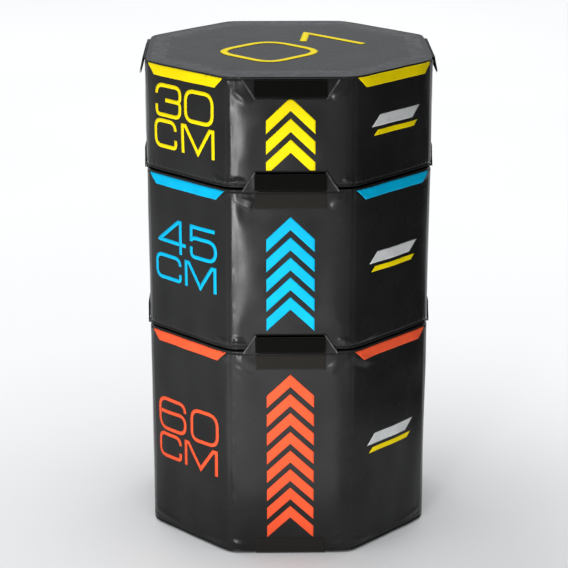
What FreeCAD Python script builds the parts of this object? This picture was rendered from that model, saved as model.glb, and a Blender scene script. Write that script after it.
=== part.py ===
"""Stack of three soft plyo boxes: octagonal foam blocks in sewn vinyl covers.

Each box has a laminated foam core, a cover of base, wall and top panels with a zip at
the back, and four flaps sewn into its top seam. Hook-and-loop tape on both faces of a
flap holds it either down on its own box or up on the box that stands above.

The origin is the middle of the stack's base, +Z is up and the front faces -Y.
Sizes are in millimetres and angles in degrees.
"""

import FreeCAD
import Part
import math
import os

# Boxes
ACROSS_FLATS = 775.0
FLAP_FACE_WIDTH = 337.0
SMALL_BOX_HEIGHT = 300.0
MIDDLE_BOX_HEIGHT = 450.0
TALL_BOX_HEIGHT = 600.0
CORNER_RADIUS = 22.0

# Covers
VINYL_THICKNESS = 1.2
RIM_RADIUS = 6.0
TOP_LIP_FLAT = 1.0
BASE_LIP_FLAT = 4.0

# Foam
FOAM_CLEARANCE = 0.3
FOAM_PLANK_THICKNESS = 50.0

# Hook-and-loop tapes
TAPE_LENGTH = 190.0
TAPE_WIDTH = 45.0
TAPE_THICKNESS = 1.6
TAPE_MATING_GAP = 0.3
JOIN_TAPE_RISE = 3.0

# Flaps
FLAP_THICKNESS = 2.0
FLAP_ROOT_MARGIN = 3.0
FLAP_EDGE_HEM = 3.0
FLAP_ROOT_INSET = 31.0
FLAP_BEAD_RADIUS = 1.5
FLAP_HINGE_GAP = 0.3
LOOSE_FLAP_TILT = 12.0

# Transfer prints
FILM_THICKNESS = 0.3
FILM_CLEARANCE = 1.5
CHEVRON_WIDTH = 128.0
CHEVRON_RISE = 61.0
CHEVRON_BAND = 35.0
CHEVRON_PITCH = 55.3
CHEVRON_TRIM = 16.0
CHEVRON_DROP = 10.0
CHEVRON_HEADROOM = 7.0
STRIPE_HEIGHT = 28.0

# Zip
ZIP_LIFT = 12.0
ZIP_SLOT_HEIGHT = 10.0
ZIP_END_INSET = 16.0
ZIP_TAPE_THICKNESS = 0.7
CHAIN_WIDTH = 6.0
CHAIN_PROUD = 1.0
CHAIN_END_INSET = 8.0
STOP_LENGTH = 4.0
SLIDER_LENGTH = 14.0
SLIDER_PLATE = 1.1
SLIDER_FLANGE = 0.9
SLIDER_GAP = 0.3
BRIDGE_LENGTH = 9.0
BRIDGE_WIDTH = 2.4
BRIDGE_BAR = 1.4
PULL_BAR_RADIUS = 0.8
PULL_BAR_GAP = 0.25
PULL_ARM_WIDTH = 1.4
PULL_ARM_LENGTH = 7.0
PULL_TAB_LENGTH = 24.0
PULL_TAB_WIDTH = 8.0
PULL_THICKNESS = 1.4

# Layout
CUT_OVERRUN = 1.0
SIDE_COUNT = 8
HALF_TURN = 180.0
SIDE_TURN = 45.0
FLAP_SIDES = {"front": 0.0, "right": 90.0, "back": 180.0, "left": 270.0}
STRIPE_TURNS = (45.0, 135.0, 225.0, 315.0)
ZIP_SLIDER_TURN = 225.0

# Sizes that follow from the ones above
HALF_FLATS = ACROSS_FLATS / 2
HALF_SIDE_ANGLE = math.radians(SIDE_TURN / 2)
HALF_FACE = FLAP_FACE_WIDTH / 2
DIAGONAL_WIDTH = (HALF_FLATS - HALF_FACE) * math.sqrt(2)
DIAGONAL_OUT = (HALF_FLATS + HALF_FACE) / math.sqrt(2)
CORNER_ROUNDING = CORNER_RADIUS * math.tan(HALF_SIDE_ANGLE)
FLAP_FACE_FLAT = FLAP_FACE_WIDTH - 2 * CORNER_ROUNDING
DIAGONAL_FLAT = DIAGONAL_WIDTH - 2 * CORNER_ROUNDING
TOP_SEAM_DROP = RIM_RADIUS + TOP_LIP_FLAT
BASE_SEAM_RISE = RIM_RADIUS + BASE_LIP_FLAT
FOAM_INSET = VINYL_THICKNESS + FOAM_CLEARANCE
FLAP_LENGTH = FLAP_ROOT_MARGIN + TAPE_WIDTH + FLAP_EDGE_HEM
FLAP_ROOT_WIDTH = FLAP_FACE_FLAT - 2 * FLAP_ROOT_INSET
HINGE_OUT = 2 * TAPE_THICKNESS + TAPE_MATING_GAP + FLAP_THICKNESS / 2
HEM_THICKNESS = 2 * VINYL_THICKNESS
STOW_TAPE_DROP = TOP_SEAM_DROP + FLAP_ROOT_MARGIN + TAPE_WIDTH
JOIN_TAPE_TOP = JOIN_TAPE_RISE + TAPE_WIDTH
CHEVRON_HEIGHT = CHEVRON_RISE + CHEVRON_BAND
ZIP_SLOT_LOW = JOIN_TAPE_TOP + ZIP_LIFT
ZIP_MIDDLE = ZIP_SLOT_LOW + ZIP_SLOT_HEIGHT / 2
ZIP_TAPE_INSET = VINYL_THICKNESS - ZIP_TAPE_THICKNESS
PULL_BAR_OUT = CHAIN_PROUD + SLIDER_GAP + SLIDER_PLATE + PULL_BAR_GAP + PULL_BAR_RADIUS

X_AXIS = FreeCAD.Vector(1, 0, 0)
Z_AXIS = FreeCAD.Vector(0, 0, 1)
ORIGIN = FreeCAD.Vector(0, 0, 0)


def turned(shape, degrees):
    """A copy of a shape made for the front, turned about the stack's axis."""
    copy = shape.copy()
    copy.rotate(ORIGIN, Z_AXIS, degrees)
    return copy


def raised(shape, height):
    """A copy of a shape moved up to a box's base height."""
    copy = shape.copy()
    copy.translate(Z_AXIS * height)
    return copy


def block(x_low, x_high, y_low, y_high, z_low, z_high):
    """A rectangular block between two corners."""
    corner = FreeCAD.Vector(x_low, y_low, z_low)
    return Part.makeBox(x_high - x_low, y_high - y_low, z_high - z_low, corner)


def plate(outline, y_low, y_high):
    """A plate standing in the XZ plane, from an outline of (x, z) points."""
    points = [FreeCAD.Vector(x, y_low, z) for x, z in outline]
    face = Part.Face(Part.makePolygon(points + points[:1]))
    return face.extrude(FreeCAD.Vector(0, y_high - y_low, 0))


def direction(angle):
    """The level direction at an angle from +X, in radians."""
    return FreeCAD.Vector(math.cos(angle), math.sin(angle), 0)


def corner_centre(side, bisector):
    """The centre of the rounding between a side and the next, the flap faces being the even ones."""
    flap_face = side + side % 2
    lean = 1 - 2 * (side % 2)
    facing = math.radians(SIDE_TURN * flap_face)
    corner = direction(facing) * HALF_FLATS + direction(facing + math.pi / 2) * (lean * HALF_FACE)
    return corner - direction(bisector) * (CORNER_RADIUS / math.cos(HALF_SIDE_ANGLE))


def octagon_face(inset, height):
    """The box's rounded octagon, drawn in from the cover's outside by an inset."""
    radius = CORNER_RADIUS - inset
    arcs = []
    for side in range(SIDE_COUNT):
        bisector = math.radians(SIDE_TURN * side) + HALF_SIDE_ANGLE
        centre = corner_centre(side, bisector) + Z_AXIS * height
        leans = (-HALF_SIDE_ANGLE, 0, HALF_SIDE_ANGLE)
        arcs.append([centre + direction(bisector + lean) * radius for lean in leans])
    edges = []
    for arc, following in zip(arcs, arcs[1:] + arcs[:1]):
        edges.append(Part.Arc(*arc).toShape())
        edges.append(Part.LineSegment(arc[-1], following[0]).toShape())
    return Part.Face(Part.Wire(edges))


def octagon_prism(inset, low, high):
    """An upright octagonal prism between two heights."""
    return octagon_face(inset, low).extrude(Z_AXIS * (high - low))


def octagon_band(outer_inset, inner_inset, low, high):
    """An octagonal ring between two insets and two heights."""
    hole = octagon_prism(inner_inset, low - CUT_OVERRUN, high + CUT_OVERRUN)
    return octagon_prism(outer_inset, low, high).cut(hole)


def rounded_underneath(prism, low, radius):
    """A prism whose bottom edges are rounded."""
    edges = [edge for edge in prism.Edges if abs(edge.BoundBox.ZMax - low) < VINYL_THICKNESS / 2]
    return prism.makeFillet(radius, edges)


def tipped_over(shape, height):
    """A shape of a box turned upside down within the box's height."""
    copy = shape.copy()
    copy.rotate(Z_AXIS * (height / 2), X_AXIS, HALF_TURN)
    return copy


def cover_panel(lip_height):
    """A cover's base panel: a flat sheet whose rounded edge turns up to the seam."""
    outside = rounded_underneath(octagon_prism(0, 0, lip_height), 0, RIM_RADIUS)
    hollow = octagon_prism(VINYL_THICKNESS, VINYL_THICKNESS, lip_height + CUT_OVERRUN)
    hollow = rounded_underneath(hollow, VINYL_THICKNESS, RIM_RADIUS - VINYL_THICKNESS)
    return outside.cut(hollow)


def cover_wall(height):
    """The band round a box's sides, with the slot for the zip across the back."""
    band = octagon_band(0, VINYL_THICKNESS, BASE_SEAM_RISE, height - TOP_SEAM_DROP)
    return band.cut(zip_slot(CUT_OVERRUN))


def foam_core(height):
    """The planks of foam that are bonded into a box's core."""
    low = FOAM_INSET
    core_height = height - 2 * FOAM_INSET
    count = max(2, round(core_height / FOAM_PLANK_THICKNESS))
    thickness = core_height / count
    bottom = octagon_prism(FOAM_INSET, low, low + thickness)
    bottom = rounded_underneath(bottom, low, RIM_RADIUS - FOAM_INSET)
    planks = [bottom]
    for number in range(1, count - 1):
        plank_low = low + number * thickness
        planks.append(octagon_prism(FOAM_INSET, plank_low, plank_low + thickness))
    planks.append(tipped_over(bottom, height))
    return Part.makeCompound(planks)


def face_tape(low):
    """A tape sewn flat on the front face."""
    half = TAPE_LENGTH / 2
    return block(-half, half, -HALF_FLATS - TAPE_THICKNESS, -HALF_FLATS, low, low + TAPE_WIDTH)


def around_flap_sides(shape):
    """The same front piece on each of the four faces that have flaps."""
    return Part.makeCompound([turned(shape, angle) for angle in FLAP_SIDES.values()])


def flap_hem(height):
    """The seam allowance that carries a flap's root along the top seam."""
    half = FLAP_ROOT_WIDTH / 2
    seam = height - TOP_SEAM_DROP
    reach = HINGE_OUT - FLAP_BEAD_RADIUS - FLAP_HINGE_GAP
    low = seam - HEM_THICKNESS / 2
    return block(-half, half, -HALF_FLATS - reach, -HALF_FLATS, low, low + HEM_THICKNESS)


def placed_flap(shape, height, lean):
    """A flap piece made upright on its hinge, leaned out and set on the front seam."""
    copy = shape.copy()
    copy.rotate(ORIGIN, X_AXIS, lean)
    copy.translate(FreeCAD.Vector(0, -HALF_FLATS - HINGE_OUT, height - TOP_SEAM_DROP))
    return copy


def flap():
    """A flap's two plies of vinyl, tapered to the tape, with a rolled root on the hinge."""
    half_root = FLAP_ROOT_WIDTH / 2
    half_tape = TAPE_LENGTH / 2
    outline = [(-half_root, 0), (half_root, 0), (half_tape, FLAP_LENGTH), (-half_tape, FLAP_LENGTH)]
    plies = plate(outline, -FLAP_THICKNESS / 2, FLAP_THICKNESS / 2)
    bead = Part.makeCylinder(FLAP_BEAD_RADIUS, FLAP_ROOT_WIDTH, X_AXIS * -half_root, X_AXIS)
    return plies.fuse(bead).removeSplitter()


def flap_tapes():
    """The hook tape and the loop tape on the two faces of a flap."""
    half = TAPE_LENGTH / 2
    skin = FLAP_THICKNESS / 2
    top = FLAP_ROOT_MARGIN + TAPE_WIDTH
    inner = block(-half, half, skin, skin + TAPE_THICKNESS, FLAP_ROOT_MARGIN, top)
    outer = block(-half, half, -skin - TAPE_THICKNESS, -skin, FLAP_ROOT_MARGIN, top)
    return Part.makeCompound([inner, outer])


def chevron(foot):
    """One chevron of the climbing row, as a film on the front face."""
    half = CHEVRON_WIDTH / 2
    outline = [
        (-half, foot),
        (0, foot + CHEVRON_RISE),
        (half, foot),
        (half, foot + CHEVRON_BAND),
        (0, foot + CHEVRON_HEIGHT),
        (-half, foot + CHEVRON_BAND),
    ]
    return plate(outline, -HALF_FLATS - FILM_THICKNESS, -HALF_FLATS)


def chevron_row(height):
    """The chevrons that fit between a box's two front tapes, the end ones trimmed clear."""
    floor = JOIN_TAPE_TOP + FILM_CLEARANCE
    ceiling = height - STOW_TAPE_DROP - CHEVRON_HEADROOM
    room = height - STOW_TAPE_DROP - JOIN_TAPE_TOP + CHEVRON_TRIM
    count = 1 + math.floor((room - CHEVRON_HEIGHT) / CHEVRON_PITCH)
    row_height = (count - 1) * CHEVRON_PITCH + CHEVRON_HEIGHT
    foot = height / 2 - CHEVRON_DROP - row_height / 2
    half = CHEVRON_WIDTH / 2
    window = block(-half, half, -HALF_FLATS - FILM_THICKNESS, -HALF_FLATS, floor, ceiling)
    row = [chevron(foot + number * CHEVRON_PITCH) for number in range(count)]
    return [film.common(window) for film in row]


def edge_stripe(height):
    """The coloured stripe under a diagonal face's top seam, its ends cut back at 45 degrees."""
    half = DIAGONAL_FLAT / 2
    top = height - TOP_SEAM_DROP
    low = top - STRIPE_HEIGHT
    outline = [(-half, top), (half, top), (half - STRIPE_HEIGHT, low), (STRIPE_HEIGHT - half, low)]
    return plate(outline, -DIAGONAL_OUT - FILM_THICKNESS, -DIAGONAL_OUT)


def prints(height):
    """The films heat-pressed on a cover: the front chevrons and the diagonal faces' stripes."""
    stripes = [turned(edge_stripe(height), angle) for angle in STRIPE_TURNS]
    return Part.makeCompound(chevron_row(height) + stripes)


def back_sector(end_inset, low, high):
    """The space behind the three back faces, ended square to the outer two."""
    reach = HALF_FLATS
    along = math.sqrt(2) / 2
    end_x = HALF_FLATS - end_inset * along
    end_y = HALF_FACE + end_inset * along
    step = reach * along
    outline = [
        (-end_x - step, end_y + step),
        (-end_x + step, end_y - step),
        (end_x - step, end_y - step),
        (end_x + step, end_y + step),
    ]
    points = [FreeCAD.Vector(x, y, low) for x, y in outline]
    face = Part.Face(Part.makePolygon(points + points[:1]))
    return face.extrude(Z_AXIS * (high - low))


def zip_slot(overrun):
    """The slot that the zip fills, passing through the wall by an overrun."""
    high = ZIP_SLOT_LOW + ZIP_SLOT_HEIGHT
    band = octagon_band(-overrun, VINYL_THICKNESS + overrun, ZIP_SLOT_LOW, high)
    return band.common(back_sector(ZIP_END_INSET, ZIP_SLOT_LOW, high))


def zip_tape():
    """The woven tape that closes the slot behind the chain."""
    high = ZIP_SLOT_LOW + ZIP_SLOT_HEIGHT
    band = octagon_band(ZIP_TAPE_INSET, VINYL_THICKNESS, ZIP_SLOT_LOW, high)
    return band.common(back_sector(ZIP_END_INSET, ZIP_SLOT_LOW, high))


def zip_stop(end):
    """A stop block beyond one end of the chain, on the diagonal face."""
    middle = end * (DIAGONAL_WIDTH / 2 - ZIP_END_INSET - CHAIN_END_INSET + STOP_LENGTH / 2)
    low = middle - STOP_LENGTH / 2
    z_low = ZIP_MIDDLE - CHAIN_WIDTH / 2
    front = -DIAGONAL_OUT - CHAIN_PROUD
    back = -DIAGONAL_OUT + ZIP_TAPE_INSET
    return block(low, low + STOP_LENGTH, front, back, z_low, z_low + CHAIN_WIDTH)


def zip_chain():
    """The closed chain along the middle of the tape, with a stop at each end."""
    low = ZIP_MIDDLE - CHAIN_WIDTH / 2
    high = ZIP_MIDDLE + CHAIN_WIDTH / 2
    band = octagon_band(-CHAIN_PROUD, ZIP_TAPE_INSET, low, high)
    chain = band.common(back_sector(ZIP_END_INSET + CHAIN_END_INSET, low, high))
    left_stop = turned(zip_stop(1), ZIP_SLIDER_TURN)
    right_stop = turned(zip_stop(-1), -ZIP_SLIDER_TURN)
    return Part.makeCompound([*chain.Solids, left_stop, right_stop])


def slider_park():
    """How far along the diagonal face the closed slider stands from its middle."""
    return DIAGONAL_WIDTH / 2 - ZIP_END_INSET - CHAIN_END_INSET - SLIDER_GAP - SLIDER_LENGTH / 2


def zip_slider():
    """The slider astride the chain, with an arched bridge for the pull."""
    half_length = SLIDER_LENGTH / 2
    half_channel = CHAIN_WIDTH / 2 + SLIDER_GAP
    half_width = half_channel + SLIDER_FLANGE
    plate_under = DIAGONAL_OUT + CHAIN_PROUD + SLIDER_GAP
    plate_top = plate_under + SLIDER_PLATE
    flange_foot = DIAGONAL_OUT - ZIP_TAPE_INSET + SLIDER_GAP
    body = block(-half_length, half_length, -plate_top, -flange_foot, -half_width, half_width)
    overrun = half_length + CUT_OVERRUN
    channel = block(
        -overrun, overrun, -plate_under, CUT_OVERRUN - flange_foot, -half_channel, half_channel
    )
    eye_height = 2 * (PULL_BAR_RADIUS + PULL_BAR_GAP)
    half_bridge = BRIDGE_LENGTH / 2
    half_eye = half_bridge - BRIDGE_BAR
    half_deep = BRIDGE_WIDTH / 2
    arch_top = plate_top + eye_height + BRIDGE_BAR
    arch = block(-half_bridge, half_bridge, -arch_top, -plate_top, -half_deep, half_deep)
    eye = block(-half_eye, half_eye, -plate_top - eye_height, -plate_top, -half_deep, half_deep)
    return body.cut(channel).fuse(arch.cut(eye)).removeSplitter()


def zip_pull():
    """The pull: a bar through the bridge, two arms astride it and a finger tab."""
    out = DIAGONAL_OUT + PULL_BAR_OUT
    half_thick = PULL_THICKNESS / 2
    arm_near = BRIDGE_WIDTH / 2 + SLIDER_GAP
    arm_far = arm_near + PULL_ARM_WIDTH
    bar_foot = FreeCAD.Vector(0, -out, -arm_far)
    pull = Part.makeCylinder(PULL_BAR_RADIUS, 2 * arm_far, bar_foot, Z_AXIS)
    for low, high in ((-arm_far, -arm_near), (arm_near, arm_far)):
        arm = block(-PULL_ARM_LENGTH, 0, -out - half_thick, half_thick - out, low, high)
        pull = pull.fuse(arm)
    half_tab = PULL_TAB_WIDTH / 2
    tab_end = -PULL_ARM_LENGTH - PULL_TAB_LENGTH
    tab = block(tab_end, -PULL_ARM_LENGTH, -out - half_thick, half_thick - out, -half_tab, half_tab)
    return pull.fuse(tab).removeSplitter()


def on_zip(shape):
    """A zip piece made facing the front, moved to the slider's place on its diagonal face."""
    copy = shape.copy()
    copy.translate(FreeCAD.Vector(slider_park(), 0, ZIP_MIDDLE))
    return turned(copy, ZIP_SLIDER_TURN)


def box_pieces(height, flap_lean):
    """Every piece of one box standing on the origin, by name."""
    pieces = {
        "foam_core": foam_core(height),
        "cover_base": cover_panel(BASE_SEAM_RISE),
        "cover_wall": cover_wall(height),
        "cover_top": tipped_over(cover_panel(TOP_SEAM_DROP), height),
        "print": prints(height),
        "stow_tapes": around_flap_sides(face_tape(height - STOW_TAPE_DROP)),
        "join_tapes": around_flap_sides(face_tape(JOIN_TAPE_RISE)),
        "flap_hems": around_flap_sides(flap_hem(height)),
        "zip_tape": zip_tape(),
        "zip_chain": zip_chain(),
        "zip_slider": on_zip(zip_slider()),
        "zip_pull": on_zip(zip_pull()),
    }
    for side, angle in FLAP_SIDES.items():
        pieces["flap_" + side] = turned(placed_flap(flap(), height, flap_lean), angle)
        pieces["flap_" + side + "_tapes"] = turned(placed_flap(flap_tapes(), height, flap_lean), angle)
    return pieces


def stack():
    """The three boxes as they stand: lower flaps up on the next box, the top ones hanging loose."""
    boxes = [
        ("tall_box", TALL_BOX_HEIGHT, 0.0),
        ("middle_box", MIDDLE_BOX_HEIGHT, 0.0),
        ("small_box", SMALL_BOX_HEIGHT, HALF_TURN - LOOSE_FLAP_TILT),
    ]
    pieces = {}
    base = 0.0
    for box, height, flap_lean in boxes:
        for name, shape in box_pieces(height, flap_lean).items():
            pieces[box + "_" + name] = raised(shape, base)
        base += height
    return pieces


def main():
    """Writes each piece to its own file and prints its volume."""
    os.makedirs("parts", exist_ok=True)
    for name, shape in stack().items():
        shape.exportStep(os.path.join("parts", name + ".step"))
        print(name, len(shape.Solids), "solids", round(shape.Volume), "mm3", "valid", shape.isValid())


main()
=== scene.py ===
"""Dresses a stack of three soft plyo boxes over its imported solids.

Each box is a foam block in a sewn black vinyl cover. Coloured films are pressed on the
cover, hook-and-loop tapes are sewn to it, four flaps hang from its top seam, and a zip
runs round its back. Lengths are in metres, the front faces -Y and +Z is up.
"""

from __future__ import annotations

import logging
import math
from collections.abc import Callable, Sequence
from dataclasses import dataclass, field
from enum import Enum
from functools import cached_property, partial

import bmesh
import bpy
import numpy as np
from mathutils import Matrix, Vector
from mathutils.bvhtree import BVHTree


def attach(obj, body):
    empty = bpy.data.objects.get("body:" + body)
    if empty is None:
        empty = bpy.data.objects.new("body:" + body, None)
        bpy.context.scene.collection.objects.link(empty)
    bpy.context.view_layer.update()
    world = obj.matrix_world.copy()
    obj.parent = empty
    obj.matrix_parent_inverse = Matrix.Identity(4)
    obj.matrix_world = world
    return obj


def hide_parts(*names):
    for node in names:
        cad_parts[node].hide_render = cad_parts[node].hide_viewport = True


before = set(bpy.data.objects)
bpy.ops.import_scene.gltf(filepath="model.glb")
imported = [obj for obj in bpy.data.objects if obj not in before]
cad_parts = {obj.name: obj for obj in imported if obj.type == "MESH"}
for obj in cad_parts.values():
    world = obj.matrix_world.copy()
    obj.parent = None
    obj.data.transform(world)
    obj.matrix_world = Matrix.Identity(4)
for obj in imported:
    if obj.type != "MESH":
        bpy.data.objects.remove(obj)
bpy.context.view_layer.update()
LOG = logging.getLogger("plyo_box")

Spot = tuple[float, float, float]
Colour = tuple[float, float, float]
Pair = tuple[float, float]
Placer = Callable[[np.ndarray, np.ndarray], np.ndarray]
Onto = Callable[..., np.ndarray]


class FlapSide(Enum):
    """The sides that carry flaps, by their number round the plan."""

    FRONT = 0
    RIGHT = 2
    BACK = 4
    LEFT = 6


class Ink(Enum):
    """The print colour of each box."""

    YELLOW = (0.88, 0.69, 0.001)
    BLUE = (0.0008, 0.405, 0.68)
    RED = (0.82, 0.094, 0.032)


class TapeFace(Enum):
    """The two halves of a hook-and-loop fastening."""

    HOOK = "hook"
    LOOP = "loop"


def fade(value: np.ndarray, full: float, none: float) -> np.ndarray:
    """Falls smoothly from 1 at full to 0 at none."""
    step = np.clip((np.asarray(value, float) - full) / (none - full), 0, 1)
    return 1 - step * step * (3 - 2 * step)


def graded(low: float, high: float, zone: float, fine: float, coarse: float) -> np.ndarray:
    """Stops between two values, close together near both.

    Args:
        low: The first stop.
        high: The last stop.
        zone: Length of the fine zone at each end.
        fine: Spacing in the fine zones.
        coarse: Spacing between them.

    Returns:
        The stops in order.
    """
    zone = min(zone, (high - low) / 2)
    edge = np.linspace(0, zone, max(2, round(zone / fine) + 1))
    count = max(2, round((high - low - 2 * zone) / coarse) + 1)
    middle = np.linspace(low + zone, high - zone, count)
    stops = np.concatenate([low + edge, middle, high - edge])
    return np.unique(np.round(stops, 7))


def cell(stops: np.ndarray, value: np.ndarray) -> np.ndarray:
    """Numbers the gaps between stops that values lie in."""
    return np.clip(np.searchsorted(stops, value, side="right") - 1, 0, len(stops) - 2)


def add_sheet(
    bm: bmesh.types.BMesh, us: Sequence[float], vs: Sequence[float], place: Placer
) -> list[bmesh.types.BMVert]:
    """Adds a grid and moves each of its vertices into place.

    Args:
        bm: The mesh that takes the grid.
        us: Stops along the grid's first direction.
        vs: Stops along its second direction.
        place: Gives the points for arrays of the two stops.

    Returns:
        The grid's vertices.
    """
    us, vs = np.asarray(us, float), np.asarray(vs, float)
    made = bmesh.ops.create_grid(bm, x_segments=len(us) - 1, y_segments=len(vs) - 1, size=0.5)
    raw = np.array([vert.co[:2] for vert in made["verts"]]) + 0.5
    across = np.rint(raw[:, 0] * (len(us) - 1)).astype(int)
    up = np.rint(raw[:, 1] * (len(vs) - 1)).astype(int)
    for vert, spot in zip(made["verts"], place(us[across], vs[up])):
        vert.co = spot
    return made["verts"]


def thicken(bm: bmesh.types.BMesh, depth: float) -> None:
    """Gives a mesh's faces a depth behind their front."""
    bmesh.ops.solidify(bm, geom=bm.faces[:], thickness=depth)


def close_back(
    bm: bmesh.types.BMesh, verts: list[bmesh.types.BMVert], y: float
) -> list[bmesh.types.BMVert]:
    """Closes the one open grid of a mesh with walls and a flat back.

    Args:
        bm: The mesh.
        verts: The grid's vertices.
        y: Where the back lies.

    Returns:
        The grid's vertices and the back's.
    """
    rim = [edge for edge in bm.edges if edge.is_boundary]
    made = bmesh.ops.extrude_edge_only(bm, edges=rim)["geom"]
    foot = [item for item in made if isinstance(item, bmesh.types.BMVert)]
    for vert in foot:
        vert.co.y = y
    base = [item for item in made if isinstance(item, bmesh.types.BMEdge) and item.is_boundary]
    bmesh.ops.contextual_create(bm, geom=base)
    return verts + foot


def ease_edges(
    bm: bmesh.types.BMesh, edges: list[bmesh.types.BMEdge], offset: float, segments: int
) -> None:
    """Rounds edges over.

    Args:
        bm: The mesh.
        edges: The edges.
        offset: How far the rounding reaches from them.
        segments: How many steps it takes.
    """
    bmesh.ops.bevel(
        bm, geom=edges, offset=offset, segments=segments, profile=0.5, affect="EDGES", material=-1
    )


def finish_piece(
    bm: bmesh.types.BMesh, name: str, body: str, finish: Finish
) -> bpy.types.Object:
    """Turns a mesh into a smooth-shaded piece that rides on a body.

    Args:
        bm: The mesh, which is freed.
        name: The piece's name.
        body: The body that carries it.
        finish: Its finish.

    Returns:
        The piece.
    """
    mesh = bpy.data.meshes.new(name)
    for face in bm.faces:
        face.smooth = True
    bm.to_mesh(mesh)
    bm.free()
    piece = bpy.data.objects.new(name, mesh)
    bpy.context.scene.collection.objects.link(piece)
    mesh.materials.append(finish.material())
    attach(piece, body)
    LOG.info("%s: %d faces on %s", name, len(mesh.polygons), body)
    return piece


class Graph:
    """A node tree being filled with nodes."""

    def __init__(self, tree: bpy.types.NodeTree) -> None:
        """Keeps the tree."""
        self.tree = tree

    def node(self, kind: str, inputs: dict | None = None, **settings: object) -> bpy.types.Node:
        """Adds a node.

        Args:
            kind: The node's type, without the ShaderNode prefix.
            inputs: Values or output sockets for its inputs, by name or number.
            **settings: Its properties.

        Returns:
            The node.
        """
        made = self.tree.nodes.new("ShaderNode" + kind)
        for key, value in settings.items():
            setattr(made, key, value)
        for key, value in (inputs or {}).items():
            if isinstance(value, bpy.types.NodeSocket):
                self.tree.links.new(value, made.inputs[key])
            else:
                made.inputs[key].default_value = value
        return made

    def place(self, group: bpy.types.NodeTree, inputs: dict) -> bpy.types.Node:
        """Adds a group node.

        Args:
            group: The group.
            inputs: Values for its inputs, by name.

        Returns:
            The node.
        """
        made = self.node("Group", node_tree=group)
        for key, value in inputs.items():
            made.inputs[key].default_value = value
        return made

    def mix(self, factor: object, first: object, second: object) -> bpy.types.NodeSocket:
        """Mixes two colours by a factor."""
        inputs = {0: factor, 6: first, 7: second}
        return self.node("Mix", inputs, data_type="RGBA").outputs[2]

    def math(self, operation: str, first: object, second: object) -> bpy.types.NodeSocket:
        """Puts two values through a math node."""
        return self.node("Math", {0: first, 1: second}, operation=operation).outputs[0]

    def ranged(self, value: object, low: object, high: object) -> bpy.types.NodeSocket:
        """Spreads a value of 0.3 to 0.7, as noise gives it, over a range."""
        inputs = {"Value": value, "From Min": 0.3, "From Max": 0.7, "To Min": low, "To Max": high}
        return self.node("MapRange", inputs).outputs["Result"]


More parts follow.
